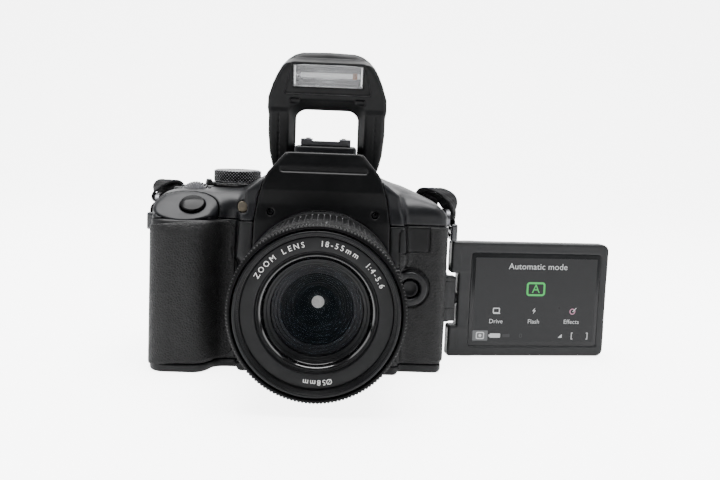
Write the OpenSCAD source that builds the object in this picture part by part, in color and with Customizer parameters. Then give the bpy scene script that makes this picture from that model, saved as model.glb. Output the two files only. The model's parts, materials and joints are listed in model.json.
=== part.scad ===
// Digital SLR camera with a raised built-in flash, a swung-out screen and a standard zoom lens.
// Axes: +X to the right seen from the front, +Y from the lens into the body, +Z up.
// Origin: mouth of the tripod socket, in the plane of the image sensor.

/* [Body] */
// Left side of the grip, as a distance from the lens axis
body_left = 73.8; // [73:0.2:76]
// Right side of the body, as a distance from the lens axis
body_right = 56; // [55.5:0.1:56.2]
// Distance of the front of the grip ahead of the sensor
grip_front = 48.8; // [48:0.2:50]
// Distance of the rear wall behind the sensor
body_back = 14; // [13.8:0.1:14.2]
// Height at which the top cover starts
deck_seam = 66; // [65:0.5:66]
// Thickness of the plastic covers
wall = 2.2; // [2:0.1:2.4]

/* [Lens] */
// Height of the lens axis above the base
axis_z = 38.5; // [38:0.1:39]
// Distance of the lens flange ahead of the sensor
flange = 44; // [44:0.1:44.2]
// Length of the lens from its flange at the short end of the zoom
lens_length = 62; // [61:0.5:63]
// Outer radius of the turning rings
lens_r = 33.3; // [33.1:0.1:33.5]
// Radius of the filter thread
filter_r = 29; // [28.8:0.1:29.1]
// Number of ribs on the zoom ring
zoom_ribs = 60; // [30:2:60]

/* [Flash] */
// Angle of the raised flash above its closed position
flash_angle = 80; // [78:1:82]
// Length of the flash from its hinge to the tip
flash_length = 54; // [53:0.5:55]

/* [Screen] */
// Width of the screen panel
panel_w = 75; // [74:0.5:76]
// Height of the screen panel
panel_h = 55.4; // [54.8:0.1:55.6]
// Thickness of the screen panel
panel_t = 7.6; // [7:0.1:7.8]
// Angle between the open panel and the front plane
panel_angle = 7.3; // [5:0.1:9]

/* [Controls] */
// Diameter of the mode dial
mode_dial_d = 22; // [21:0.5:22.5]
// Diameter of the shutter button
shutter_d = 10.4; // [9.6:0.1:10.6]
// Knurls round each dial
dial_knurls = 36; // [24:2:40]

/* [Hidden] */
$fn = 64;
gap = 0.3;
lens_front = flange + lens_length;

body_black = [0.09, 0.09, 0.10];
deck_grey = [0.22, 0.22, 0.24];
rubber_black = [0.06, 0.06, 0.06];
metal = [0.75, 0.75, 0.77];
dark_metal = [0.25, 0.25, 0.27];
glass_blue = [0.35, 0.40, 0.50, 0.6];
clear_glass = [0.85, 0.88, 0.90, 0.5];
circuit_green = [0.10, 0.35, 0.20];
web_black = [0.12, 0.12, 0.13];

// Shutter button: its centre on the sloping top of the grip, and the slope
shutter_at = [-56, -38, 72];
shutter_tilt = 36;
// Mode dial: centre of its foot
mode_at = [-40, -8, 78.6];
mode_h = 5.6;
lever_turn = 197;
// Main dial: centre, its spindle runs front to back
dial_at = [-57, -21.5, 73.5];
dial_r = 7.6;
dial_w = 6;
// Release button beside the lens mount
release_at = [39.3, axis_z];
release_r = 3.9;
// Control ring on the back
ring_at = [-48, 30];
ring_r = 11;
// Hinge pins and the running gap round them
pin_r = 0.85;
pin_play = 0.05;
// Flash hinge: the pin runs along X
flash_pin = [15, 89];
flash_inner = 15.2;
// Screen hinge: vertical pin, and where the panel's own pivot passes it
hinge_at = [57.5, 6.6];
panel_z = 28.2;
panel_near = 6.8;
panel_offset = -5.9;
pocket_front = -3.4;
// Distance of the seam between the front and rear covers ahead of the sensor
rear_seam = 18.4;
// Where the shell of the grip meets the front cover
grip_seam = -42;
// Height ranges and depth range of the two rubber covers on the side
audio_z = [35, 53];
video_z = [14, 32.6];
cover_y = [-17.4, -6.4];
// Heights of the focus and stabilizer switches above the axis
switch_z = [5, -5];
// Depth of the filter thread
thread_depth = 3.8;
// Screws in the front of the finder hump
screw_x = [-22.2, 22.6];
screw_z = 70.2;
// Battery bay under the grip
bay_x = [-69.5, -48.5];
bay_y = [-40, -3];
// Axis of the battery door's hinge, as X and Z
door_pin = [-49.8, 1.2];

// ---------- shared outlines ----------

// Outline of the body seen from above
module plan() {
    offset(r = 3) offset(delta = -3) offset(r = -3) offset(delta = 3)
    polygon([
        [-body_left, 4], [-body_left, -42], [-body_left + 5, -grip_front],
        [-53, -grip_front], [-46, -42], [-42, -35], [-36, -35],
        [-34, -41.5], [34, -41.5], [36, -35], [50, -35],
        [body_right, -29], [body_right, body_back], [-body_left + 8, body_back]
    ]);
}

// A plate of the body's outline between two heights
module plan_slab(low, high, inset = 0) {
    translate([0, 0, low])
        linear_extrude(high - low) offset(delta = -inset) plan();
}

// Everything in front of or behind the seam at a given depth
module half(back_edge, front_edge) {
    translate([-100, -back_edge, -10]) cube([200, back_edge - front_edge, 140]);
}

module block(low, high) {
    translate(low) cube(high - low);
}

// Extrudes a front view, given as X and Z, from y0 to y1
module front_view(y0, y1) {
    translate([0, y1, 0]) rotate([90, 0, 0]) linear_extrude(y1 - y0) children();
}

// Extrudes a side view, given as Y and Z, from x0 to x1
module side_view(x0, x1) {
    translate([x0, 0, 0]) rotate([90, 0, 90]) linear_extrude(x1 - x0) children();
}

// A disc round the lens axis from a back to a front distance ahead of the sensor
module disc(back, front, r) {
    translate([0, -back, axis_z]) rotate([90, 0, 0]) cylinder(h = front - back, r = r, $fn = 96);
}

module ring(back, front, r_out, r_in) {
    difference() {
        disc(back, front, r_out);
        disc(back - 1, front + 1, r_in);
    }
}

// A round peg at a point, along a direction given by two tilts
module peg(at, turn, h, r) {
    translate(at) rotate(turn) cylinder(h = h, r = r);
}

// A push button: a cap that stands proud, a narrower stem and a flange inside the wall
module push_button(at, turn, r, proud = 1.1) {
    translate(at) rotate(turn) {
        translate([0, 0, -wall - 2.2]) cylinder(h = wall + 2.2 + proud, r = r);
        translate([0, 0, -wall - 3.2]) cylinder(h = 1, r = r + 0.7);
    }
}

// The hole that such a button needs, with its running gap
module button_hole(at, turn, r) {
    translate(at) rotate(turn) translate([0, 0, -wall - 6])
        cylinder(h = wall + 12, r = r + gap);
}

// ---------- positions of the rear buttons ----------

rear_turn = [-90, 0, 0];
menu_at = [36, body_back, 62.5];
info_at = [25, body_back, 62.5];
live_at = [-25, body_back, 70];
lock_at = [-46, body_back, 61];
point_at = [-57, body_back, 61];
play_at = [-37, body_back, 12];
erase_at = [-58, body_back, 12];
rear_small_r = 2.6;
iso_at = [-65.5, -15.4, 76.8];
display_at = [-63.5, -6.6, 77.4];
diopter_at = [21.4, 18, 79.5];

// ---------- covers ----------

module hump_view(inset = 0) {
    offset(delta = -inset)
    polygon([
        [-31, deck_seam - 10], [-31, 80], [-25.2, 84.6], [-24, 87.2],
        [-16.4, 95.6], [-15, 96.6], [15, 96.6], [16.4, 95.6],
        [24, 87.2], [25.2, 84.6], [31, 80], [31, deck_seam - 10]
    ]);
}

module hump_side(inset = 0) {
    offset(delta = -inset)
    polygon([
        [-41.6, deck_seam - 10], [-41.6, 86.6], [-38.6, 96.6], [-36, 96.6],
        [-36, 84.8], [18, 84.8], [18, deck_seam - 10]
    ]);
}

module shoulder_view(inset = 0) {
    offset(delta = -inset)
    polygon([
        [-body_left, deck_seam - 10], [-body_left, 72], [-69, 76.4], [-62, 78.4],
        [-34, 79], [-28, 83.2], [28, 83.2], [36, 81.4], [50.5, 75.2],
        [body_right, 70.5], [body_right, deck_seam - 10]
    ]);
}

module shoulder_side(inset = 0) {
    offset(delta = -inset)
    polygon([
        [-grip_front, deck_seam - 10], [-grip_front, 63.2], [-46, 65.6],
        [-30.4, 77.4], [-26, 79.4], [-20, 83.4], [6, 83.4],
        [body_back, 78], [body_back, deck_seam - 10]
    ]);
}

// The whole top of the body as one solid, drawn smaller by an inset
module top_mass(inset = 0) {
    intersection() {
        front_view(-60, 30) shoulder_view(inset);
        side_view(-100, 100) shoulder_side(inset);
        plan_slab(deck_seam - 5, 100, inset);
    }
    intersection() {
        front_view(-60, 30) hump_view(inset);
        side_view(-40, 40) hump_side(inset);
    }
    // pedestal under the accessory shoe, between the arms of the flash
    block([-14.4 + inset, -6.6 + inset, deck_seam - 5], [14.4 - inset, 18 - inset, 98.6 - inset]);
}

module top_cover() {
    color(deck_grey)
    difference() {
        intersection() {
            top_mass();
            block([-100, -60, deck_seam], [100, 60, 120]);
        }
        top_mass(wall);
        button_hole(shutter_at, [shutter_tilt, 0, 0], shutter_d / 2);
        button_hole(iso_at, [0, 0, 0], 2.4);
        button_hole(display_at, [0, 0, 0], 2.4);
        button_hole(live_at, rear_turn, rear_small_r + 0.4);
        // slot and clearance of the main dial
        translate(dial_at) rotate([90, 0, 0])
            cylinder(h = dial_w + 1.2, r = dial_r + 0.5, center = true);
        peg(mode_at + [0, 0, -8], [0, 0, 0], 20, 4.4);
        peg([mode_at[0], mode_at[1], mode_at[2]], [0, 0, 0], 20, 13);
        // eyepiece window and the adjuster beside it
        block([-9, 12, 79], [9, 19, 91]);
        peg([diopter_at[0], 20, diopter_at[2]], [90, 0, 0], 6, 1.3);
        // clearance behind the lens mount, and counterbores of the two front screws
        disc(30, 60, 28.7);
        for (x = screw_x)
            peg([x, -40.4, screw_z], [90, 0, 0], 4, 2.1);
        // lamp window
        peg([-34.5, -20, 71.6], [90, 0, 0], 20, 2.9);
    }
    // pins that carry the arms of the flash
    color(metal)
    for (x = [-22, 14])
        peg([x, flash_pin[0], flash_pin[1]], [0, 90, 0], 8, pin_r);
}

// The front shell between two places across the body
module front_shell(x0, x1) {
    color(body_black)
    difference() {
        intersection() {
            plan_slab(4, deck_seam);
            half(60, rear_seam);
            block([x0, -100, -10], [x1, 100, 140]);
        }
        intersection() {
            plan_slab(0, 80, wall);
            half(60, rear_seam - 1);
        }
        disc(30, 60, 32.4);
        translate([release_at[0], -60, release_at[1]]) rotate([-90, 0, 0])
            cylinder(h = 40, r = release_r + gap);
    }
}

module grip_shell() {
    front_shell(-100, grip_seam);
}

module front_cover() {
    front_shell(grip_seam, 100);
    // wall behind the mount, with the opening for the mirror box
    color(body_black)
    difference() {
        block([-33.5, -36, 4], [33.5, -34.4, deck_seam]);
        disc(30, 60, 28.5);
    }
    // raised crescent round the release button
    color(body_black)
    intersection() {
        difference() {
            translate([release_at[0], -35, release_at[1]]) rotate([90, 0, 0])
                cylinder(h = 3.6, r = 7.4);
            translate([release_at[0], -30, release_at[1]]) rotate([90, 0, 0])
                cylinder(h = 20, r = release_r + 1.2);
            disc(30, 60, 34);
        }
        block([30, -40, 20], [body_right, -30, 60]);
    }
}

module recess() {
    // bay for the closed panel, open towards the hinge, with a pocket for the hinge block
    block([-26, 8.2, 0], [body_right + 3, 30, panel_z + panel_h / 2 + 0.8]);
    block([hinge_at[0] - 6, pocket_front, panel_z - 14], [body_right + 3, 30, panel_z + 14]);
}

module rear_cover() {
    color(body_black)
    difference() {
        intersection() {
            plan_slab(4, deck_seam);
            half(rear_seam, -30);
        }
        difference() {
            intersection() {
                plan_slab(0, 80, wall);
                half(rear_seam + 1, -30);
            }
            // inner skins of the panel bay and of the hinge pocket
            block([-26 - wall, 8.2 - wall, 0], [body_right, 30, panel_z + panel_h / 2 + 0.8 + wall]);
            block([hinge_at[0] - 6 - wall, pocket_front - wall, panel_z - 14 - wall],
                  [body_right, 30, panel_z + 14 + wall]);
        }
        recess();
        for (at = [menu_at, info_at, lock_at, point_at, play_at, erase_at])
            button_hole(at, rear_turn, rear_small_r);
        translate([ring_at[0], 0, ring_at[1]]) rotate([-90, 0, 0]) cylinder(h = 30, r = 7.6);
        translate([ring_at[0], body_back - 0.8, ring_at[1]]) rotate([-90, 0, 0])
            cylinder(h = 5, r = ring_r + gap);
        // shallow seats of the two socket covers, and the sockets behind them
        cover_seats();
    }
    // ears and pin that carry the screen's hinge block
    color(body_black)
    for (z = [panel_z - 15.4, panel_z + 12.6])
        difference() {
            union() {
                translate([hinge_at[0], hinge_at[1], z]) cylinder(h = 2.8, r = 3.2);
                block([hinge_at[0] - 6.5, hinge_at[1] - 3.2, z], [hinge_at[0], hinge_at[1] + 1.4, z + 2.8]);
            }
            translate([hinge_at[0], hinge_at[1], z - 1]) cylinder(h = 6, r = pin_r);
        }
    color(metal)
    translate([hinge_at[0], hinge_at[1], panel_z - 15.4]) cylinder(h = 30.8, r = pin_r);
}

module cover_seats() {
    for (z = [audio_z, video_z])
        block([body_right - 1.1, cover_y[0] - gap, z[0] - gap],
              [body_right + 1, cover_y[1] + gap, z[1] + gap]);
    peg([body_right - 6, -11.5, 44], [0, 90, 0], 8, 2);
    block([body_right - 6, -13.5, 18], [body_right + 1, -9.5, 29]);
}

module socket_cover(z) {
    color(rubber_black)
    union() {
        block([body_right - 0.8, cover_y[0] + 0.8, z[0]], [body_right + 0.8, cover_y[1], z[1]]);
        peg([body_right, cover_y[0] + 0.8, z[0]], [0, 0, 0], z[1] - z[0], 0.8);
    }
}

module audio_cover() {
    socket_cover(audio_z);
}

module video_cover() {
    socket_cover(video_z);
}

module base_cover() {
    color(body_black)
    difference() {
        union() {
            plan_slab(0, 0.8, 1.4);
            plan_slab(0.8, 4);
        }
        plan_slab(2.4, 9, wall);
        recess();
        block([bay_x[0], bay_y[0], -1], [bay_x[1], bay_y[1], 9]);
        peg([0, 0, -1], [0, 0, 0], 9, 5.8);
    }
}

module battery_door() {
    color(body_black)
    union() {
        block([bay_x[0] + gap, bay_y[0] + gap, 0.2], [door_pin[0], bay_y[1] - gap, 2.2]);
        peg([door_pin[0], bay_y[1] - gap, door_pin[1]], [90, 0, 0], bay_y[1] - bay_y[0] - 2 * gap, 0.9);
    }
}

module tripod_socket() {
    color(metal)
    difference() {
        union() {
            peg([0, 0, 0], [0, 0, 0], 6, 5.8);
            block([-9, -9, 2.4], [9, 5.8, 4]);
        }
        peg([0, 0, -1], [0, 0, 0], 7, 3.175);
    }
}

// ---------- skins ----------

module plan_band(low, high, thick) {
    translate([0, 0, low]) linear_extrude(high - low)
        difference() {
            offset(delta = thick) plan();
            plan();
        }
}

module grip_skin() {
    color(rubber_black)
    intersection() {
        plan_band(5, 62, 1.2);
        block([-80, -60, 0], [-43.6, -6, 70]);
    }
}

module side_skin() {
    color(rubber_black)
    difference() {
        intersection() {
            plan_band(6, 62, 0.9);
            block([35.5, -60, 0], [body_right + 2, -rear_seam - 0.2, 70]);
        }
        translate([release_at[0], -30, release_at[1]]) rotate([90, 0, 0])
            cylinder(h = 20, r = 7.7);
    }
}

module thumb_skin() {
    color(rubber_black)
    difference() {
        hull() {
            block([-61.5, body_back, 42], [-30.5, body_back + 0.6, 66]);
            block([-60, body_back, 45], [-52, body_back + 3, 66]);
        }
        for (at = [lock_at, point_at])
            button_hole(at, rear_turn, rear_small_r + 0.6);
        block([-80, body_back, 66], [0, body_back + 9, 80]);
    }
}

// ---------- mount, shoe and fittings ----------

module mount_ring() {
    color(metal)
    difference() {
        union() {
            disc(36, flange, 27 + 1.4);
            disc(flange - 2.4, flange, 32.2);
        }
        disc(30, 60, 27);
    }
}

module hot_shoe() {
    // stamped metal rails: a floor, two sides and two lips
    color(metal)
    difference() {
        block([-11.6, -6.2, 98.6], [11.6, 13.8, 101.9]);
        block([-9.35, -4.6, 99.1], [9.35, 15, 101.1]);
        block([-6.3, -4.6, 98.9], [6.3, 15, 103]);
    }
}

module lug(x, side) {
    color(metal)
    difference() {
        hull() {
            peg([x, -3, 69.5], [0, 90 * side, 0], 1.6, 4);
            peg([x, 3, 69.5], [0, 90 * side, 0], 1.6, 4);
        }
        block([x - 3, -4.9, 68.6], [x + 3, 4.9, 71.2]);
    }
}

module strap_lugs() {
    // two slotted plates standing off the shoulders on stems
    translate([-3.2, 0, 0]) lug(-body_left + 0.4, -1);
    translate([1.9, 0, -2.6]) lug(body_right, 1);
    color(metal) {
        block([-body_left - 3, -2.4, 66.2], [-body_left, 2.4, 67.6]);
        block([body_right, -2.4, 63.6], [body_right + 2, 2.4, 65]);
    }
}

module eyecup() {
    color(rubber_black)
    difference() {
        union() {
            block([-12.4, 18, 76.5], [12.4, 21, 94]);
            hull() {
                block([-16, 21, 75], [16, 22, 95.5]);
                block([-17, 24, 74], [17, 25.6, 96.5]);
            }
        }
        block([-9.5, 17, 79.5], [9.5, 30, 90.5]);
        hull() {
            block([-9.5, 21, 79.5], [9.5, 21.2, 90.5]);
            block([-13.5, 25.6, 77], [13.5, 26, 93.5]);
        }
    }
}

module eyepiece_lens() {
    color(glass_blue) block([-8.9, 13, 79.2], [8.9, 15, 90.8]);
}

module red_eye_lamp() {
    color(clear_glass) intersection() {
        peg([-34.5, -28, 71.6], [90, 0, 0], 9, 2.7);
        side_view(-60, 0) polygon([[-28, 60], [-36.9, 60], [-36.9, 72.4], [-30, 78], [-28, 78]]);
    }
}

module cover_screws() {
    color(dark_metal)
    for (x = screw_x)
        difference() {
            peg([x, -40.4, screw_z], [90, 0, 0], 0.8, 1.8);
            peg([x, -40.8, screw_z], [90, 0, 0], 1, 0.8);
        }
}

// ---------- works inside the body ----------

module mirror_box() {
    color(dark_metal)
    difference() {
        block([-26, -34, 12], [26, -8, 60]);
        block([-23.5, -35, 14.5], [23.5, -7, 57]);
        block([-20, -32, 56], [20, -11, 61]);
    }
}

module shutter_unit() {
    color(dark_metal)
    difference() {
        block([-24, -7.6, 16], [24, -4.8, 58]);
        block([-12, -9, axis_z - 8.2], [12, -4, axis_z + 8.2]);
    }
}

module image_sensor() {
    color(glass_blue) block([-14, -1.2, axis_z - 10], [14, 1.4, axis_z + 10]);
}

module main_board() {
    color(circuit_green)
    union() {
        block([-40, 2, 8], [44, 3.4, 60]);
        for (x = [-34, -20, 20, 32])
            block([x, 1, 14], [x + 9, 2, 23]);
    }
}

module pentamirror() {
    color(glass_blue)
    side_view(-19, 19) polygon([[-31, 61], [-31, 70], [-24, 81.6], [-4, 81.6], [6, 76], [6, 69], [-10, 61]]);
}

module battery_pack() {
    color(dark_metal) block([bay_x[0] + 1, bay_y[0] + 1, 2.8], [bay_x[1] - 1, bay_y[1] - 1, 50]);
}

// The mirror at rest, hanging down at 45 degrees from its pivot at the top rear
mirror_pin = [-9.6, 55];

module reflex_mirror() {
    color(metal)
    translate([0, mirror_pin[0], mirror_pin[1]]) rotate([45, 0, 0]) {
        block([-17, -26.4, -0.6], [17, -1, 0.6]);
        peg([-17, 0, 0], [0, 90, 0], 34, 1.2);
    }
}

// ---------- controls ----------

module shutter_button() {
    color(body_black) push_button(shutter_at, [shutter_tilt, 0, 0], shutter_d / 2, 1.2);
}

module iso_button() {
    color(body_black) push_button(iso_at, [0, 0, 0], 2.4);
}

module display_button() {
    color(body_black) push_button(display_at, [0, 0, 0], 2.4);
}

module menu_button() {
    color(body_black) push_button(menu_at, rear_turn, rear_small_r);
}

module info_button() {
    color(body_black) push_button(info_at, rear_turn, rear_small_r);
}

module live_view_button() {
    color(body_black) push_button(live_at, rear_turn, rear_small_r + 0.4);
}

module lock_button() {
    color(body_black) push_button(lock_at, rear_turn, rear_small_r, 2.8);
}

module point_button() {
    color(body_black) push_button(point_at, rear_turn, rear_small_r, 3.6);
}

module playback_button() {
    color(body_black) push_button(play_at, rear_turn, rear_small_r);
}

module erase_button() {
    color(body_black) push_button(erase_at, rear_turn, rear_small_r);
}

module lens_release_button() {
    color(body_black)
    translate([release_at[0], -36.4, release_at[1]]) rotate([90, 0, 0]) {
        translate([0, 0, -6]) cylinder(h = 8.2, r = release_r);
        translate([0, 0, -7]) cylinder(h = 1, r = release_r + 0.8);
    }
}

// A knurled wheel standing on z = 0
module knurled_wheel(r, h, bite = 0.4) {
    difference() {
        cylinder(h = h, r = r, $fn = 96);
        for (i = [0 : dial_knurls - 1])
            rotate(i * 360 / dial_knurls) translate([r + bite * 0.6, 0, -1])
                rotate(45) cube([bite * 2, bite * 2, 2 * h + 4], center = true);
    }
}

module main_dial() {
    color(body_black)
    translate(dial_at + [0, dial_w / 2, 0]) rotate([90, 0, 0]) knurled_wheel(dial_r, dial_w, 0.5);
}

module mode_dial() {
    color(body_black)
    translate(mode_at) {
        translate([0, 0, 2.2]) knurled_wheel(mode_dial_d / 2, mode_h, 0.5);
        translate([0, 0, -6]) cylinder(h = 8.2, r = 2.6);
    }
}

module power_lever() {
    color(body_black)
    translate(mode_at)
        difference() {
            union() {
                translate([0, 0, 0.2]) cylinder(h = 1.8, r = 11.4);
                rotate(lever_turn) translate([8, -2.2, 0.2]) cube([6.6, 4.4, 1.8]);
                translate([0, 0, -6]) cylinder(h = 6.4, r = 4);
            }
            translate([0, 0, -9]) cylinder(h = 20, r = 2.9);
        }
}

module quick_dial() {
    color(body_black)
    translate([ring_at[0], body_back - 0.6, ring_at[1]]) rotate([-90, 0, 0])
        difference() {
            knurled_wheel(ring_r, 2.4, 0.4);
            translate([0, 0, -1]) cylinder(h = 9, r = 7.9);
        }
}

module cross_keys() {
    color(body_black)
    translate([ring_at[0], body_back - 4, ring_at[1]]) rotate([-90, 0, 0])
        difference() {
            union() {
                cylinder(h = 5, r = 7.3);
                translate([0, 0, -0.6]) cylinder(h = 1, r = 8.4);
            }
            translate([0, 0, -1]) cylinder(h = 9, r = 4.1);
        }
}

module set_button() {
    color(body_black)
    translate([ring_at[0], body_back - 5, ring_at[1]]) rotate([-90, 0, 0]) {
        translate([0, 0, -1]) cylinder(h = 7.4, r = 3.8);
        translate([0, 0, -1.4]) cylinder(h = 1, r = 6);
    }
}

module diopter_knob() {
    color(body_black)
    translate(diopter_at) rotate([-90, 0, 0]) {
        translate([0, 0, 0.2]) knurled_wheel(3.2, 1.8, 0.3);
        translate([0, 0, -1.6]) cylinder(h = 2, r = 1);
    }
}

// ---------- flash, drawn closed and then raised about its pin ----------

module raised() {
    translate([0, flash_pin[0], flash_pin[1]]) rotate([-flash_angle, 0, 0])
        children();
}

// Half widths of the flash along its length, from the pin to the tip
flash_half = [
    [-4, 24.6], [0, 25.8], [6, 27.2], [24, 27.6], [27, 28.3], [33, 28.3],
    [35, 26.6], [39, 25], [43, 22.6], [48, 18.4], [51, 15.4], [53, 11]
];

module flash_outline() {
    polygon(concat(
        [for (p = flash_half) [p[1], -p[0]]],
        [[7, -flash_length], [-7, -flash_length]],
        [for (i = [len(flash_half) - 1 : -1 : 0]) [-flash_half[i][1], -flash_half[i][0]]]
    ));
}

// Side view of the closed flash as distance from the pin and height over it
module flash_side() {
    polygon([
        [3.4, -1.4], [2.4, -3], [-26, -3], [-28, -2.4], [-49.6, -1.6], [-49.6, 7.9],
        [-flash_length, 8.8], [-flash_length, 10.5], [-50, 12.6], [-40, 13.2],
        [-26, 12.6], [-10, 8], [2.4, 5], [3.4, 3.6]
    ]);
}

module flash_arm() {
    color(body_black) raised()
    difference() {
        intersection() {
            translate([0, 0, -20]) linear_extrude(60) flash_outline();
            side_view(-40, 40) flash_side();
        }
        // opening between the arms
        translate([0, 0, -20]) linear_extrude(60)
            offset(r = 5) offset(delta = -5)
            translate([-flash_inner, -26]) square([2 * flash_inner, 60]);
        // pocket of the lamp unit
        block([-17, -49, -9], [17, -37.6, 8]);
        for (side = [-1, 1])
            peg([side * 21 - 7, 0, 0], [0, 90, 0], 14, pin_r + pin_play);
    }
}

module flash_window() {
    color(clear_glass) raised()
        block([-16.8, -48.8, -1.8], [16.8, -37.8, 0.4]);
}

module flash_tube() {
    color(metal) raised() {
        difference() {
            block([-16.6, -48.6, 0.6], [16.6, -38, 7.6]);
            block([-15.8, -47.8, 0], [15.8, -38.8, 6.8]);
        }
        peg([-15.9, -43.3, 3.6], [0, 90, 0], 31.8, 1.2);
    }
}

// ---------- screen ----------

// Places its children with x along the open panel from the hinge and y through its thickness
module open_panel() {
    translate([hinge_at[0], hinge_at[1], panel_z]) rotate([0, 0, panel_angle])
        translate([0, panel_offset, 0]) children();
}

module lcd_hinge() {
    color(body_black) {
        difference() {
            union() {
                translate([hinge_at[0], hinge_at[1], panel_z - 12]) cylinder(h = 24, r = 3.4);
                open_panel() {
                    block([-2.2, -3, -11], [panel_near - 0.7, 3, 11]);
                    block([-2.2, -3, -11], [2.6, -panel_offset, 11]);
                }
            }
            translate([hinge_at[0], hinge_at[1], panel_z - 20]) cylinder(h = 40, r = pin_r + pin_play);
        }
        open_panel() peg([0, 0, 0], [0, 90, 0], panel_near + 7, 2.4);
    }
}

module lcd_housing() {
    color(body_black) open_panel()
    difference() {
        translate([panel_near, panel_t / 2, -panel_h / 2]) rotate([90, 0, 0])
            linear_extrude(panel_t) offset(r = 3) offset(delta = -3) square([panel_w, panel_h]);
        block([panel_near + 6.2, -panel_t / 2 - 1, -22.6],
              [panel_near + 71, -panel_t / 2 + 1.4, 22.6]);
        block([panel_near + 9.5, -panel_t / 2 + 2.6, -20], [panel_near + 69, panel_t / 2 - 1.4, 20]);
        peg([0, 0, 0], [0, 90, 0], panel_near + 8, 2.46);
    }
}

module lcd_screen() {
    color([0.12, 0.13, 0.15]) open_panel()
        block([panel_near + 6.4, -panel_t / 2 + 0.1, -22.4],
              [panel_near + 70.8, -panel_t / 2 + 1.4, 22.4]);
}

// ---------- lens ----------

module lens_barrel() {
    color(body_black)
    difference() {
        union() {
            disc(flange, flange + 14, lens_r);
            disc(flange - 6, flange, 26.6);
            disc(flange + 14, lens_front - 3.4, 31.6);
        }
        disc(flange - 7, lens_front + 1, 24.5);
        disc(flange + 8, lens_front + 1, 31);
        // slots of the two side switches
        for (z = [switch_z[0], switch_z[1]])
            block([30, -flange - 11, axis_z + z - 2.2], [35, -flange - 4, axis_z + z + 2.2]);
    }
}

module side_switch(z) {
    color(body_black)
    block([31.4, -flange - 9.4, axis_z + z - 1.9], [lens_r + 0.5, -flange - 5.8, axis_z + z + 1.9]);
}

module focus_switch() {
    side_switch(switch_z[0]);
}

module stabilizer_switch() {
    side_switch(switch_z[1]);
}

module zoom_ring() {
    color(rubber_black)
    difference() {
        union() {
            ring(flange + 14.3, flange + 46, lens_r, 31.9);
        }
        for (i = [0 : zoom_ribs - 1])
            translate([0, 0, axis_z]) rotate([0, i * 360 / zoom_ribs, 0])
                translate([lens_r, -flange - 31, 0]) rotate([0, 45, 0])
                    cube([0.9, 25, 0.9], center = true);
    }
}

module focus_ring() {
    color(body_black) ring(flange + 46.3, lens_front, lens_r, 31.9);
}

module inner_barrel() {
    color(body_black)
    difference() {
        disc(flange + 26, lens_front, 30.7);
        disc(lens_front - thread_depth, lens_front + 1, filter_r);
        // relief groove at the foot of the thread
        disc(lens_front - thread_depth - 0.6, lens_front - thread_depth, filter_r + 0.5);
        disc(flange + 25, lens_front + 1, 17.4);
        translate([0, -lens_front + 3.5, axis_z]) rotate([-90, 0, 0])
            cylinder(h = 9, r1 = 22.5, r2 = 17.4, $fn = 96);
        disc(flange + 25, lens_front - 15.4, 28);
    }
}

module front_element() {
    color(glass_blue)
    intersection() {
        disc(lens_front - 15, lens_front - 9, 17.2);
        translate([0, -lens_front + 46, axis_z]) sphere(r = 36.6, $fn = 96);
    }
}

// ---------- strap tails ----------

// A flat web that follows route points of the form [x, y, z, turn], where turn is
// the direction of its width in plan, in degrees
function at(p) = [p[0], p[1], p[2]];

module web(route, width, thick) {
    n = len(route);
    function across(i) = [cos(route[i][3]), sin(route[i][3]), 0];
    function outward(i) =
        let (run = at(route[min(i + 1, n - 1)]) - at(route[max(i - 1, 0)]))
        let (c = cross(run, across(i))) c / norm(c);
    rings = [for (i = [0 : n - 1])
        let (u = across(i) * width / 2, v = outward(i) * thick / 2, p = at(route[i]))
        [p + u + v, p + u - v, p - u - v, p - u + v]];
    side = function(i, k) 4 * i + (k + 4) % 4;
    polyhedron(
        points = [for (r = rings) each r],
        faces = concat(
            [[3, 2, 1], [3, 1, 0]],
            [for (i = [0 : n - 2], k = [0 : 3])
                each [[side(i, k), side(i, k + 1), side(i + 1, k + 1)],
                      [side(i, k), side(i + 1, k + 1), side(i + 1, k)]]],
            [[side(n - 1, 0), side(n - 1, 1), side(n - 1, 2)],
             [side(n - 1, 0), side(n - 1, 2), side(n - 1, 3)]]
        )
    );
}

web_w = 9.4;
web_t = 1.2;
left_route = [
    [-77.4, 0, 69.9, 90], [-79.3, 0.1, 70.8, 90], [-80, 0.6, 73.2, 93], [-79.2, 2, 76, 105],
    [-77.4, 4.6, 78.2, 124], [-75.4, 8, 79.2, 140], [-73.6, 11.8, 78.8, 156],
    [-72.4, 15, 76.6, 170], [-71.8, 16.9, 72, 180], [-71.6, 17.2, 66, 180],
    [-71.6, 17.2, 59, 180], [-71.6, 17.2, 51, 180]
];
left_tail = [
    [-78.6, 0, 69.2, 90], [-80.1, 0, 67.2, 90], [-80.3, 0, 63, 90], [-80.3, 0, 56, 90]
];
right_route = [
    [58.6, 0, 67.3, 90], [60.8, 0, 68.2, 90], [61.8, 0.4, 71, 88], [61.2, 1.6, 74.6, 78],
    [58.8, 3.6, 77.6, 58], [55.4, 6.4, 79.4, 40], [52.2, 9.8, 80, 24], [50, 13.4, 79, 8],
    [49, 16.4, 75.8, 0], [48.8, 17.4, 70.4, 0]
];
right_tail = [
    [60.4, 0, 67.2, 90], [61.6, 0, 66.2, 90], [61.8, 0, 64.6, 90], [61.8, 0, 56.8, 90]
];

module strap_web_left() {
    color(web_black) {
        web(left_route, web_w, web_t);
        web(left_tail, web_w, web_t);
    }
}

module strap_web_right() {
    color(web_black) {
        web(right_route, web_w, web_t);
        web(right_tail, web_w, web_t);
    }
}

// A slotted slide through which a web passes
module adjuster(x, y, z) {
    difference() {
        block([x - 1.6, y - 6.6, z], [x + 1.6, y + 6.6, z + 8]);
        block([x - 0.8, y - web_w / 2 - 0.2, z - 1], [x + 0.8, y + web_w / 2 + 0.2, z + 9]);
    }
}

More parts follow.
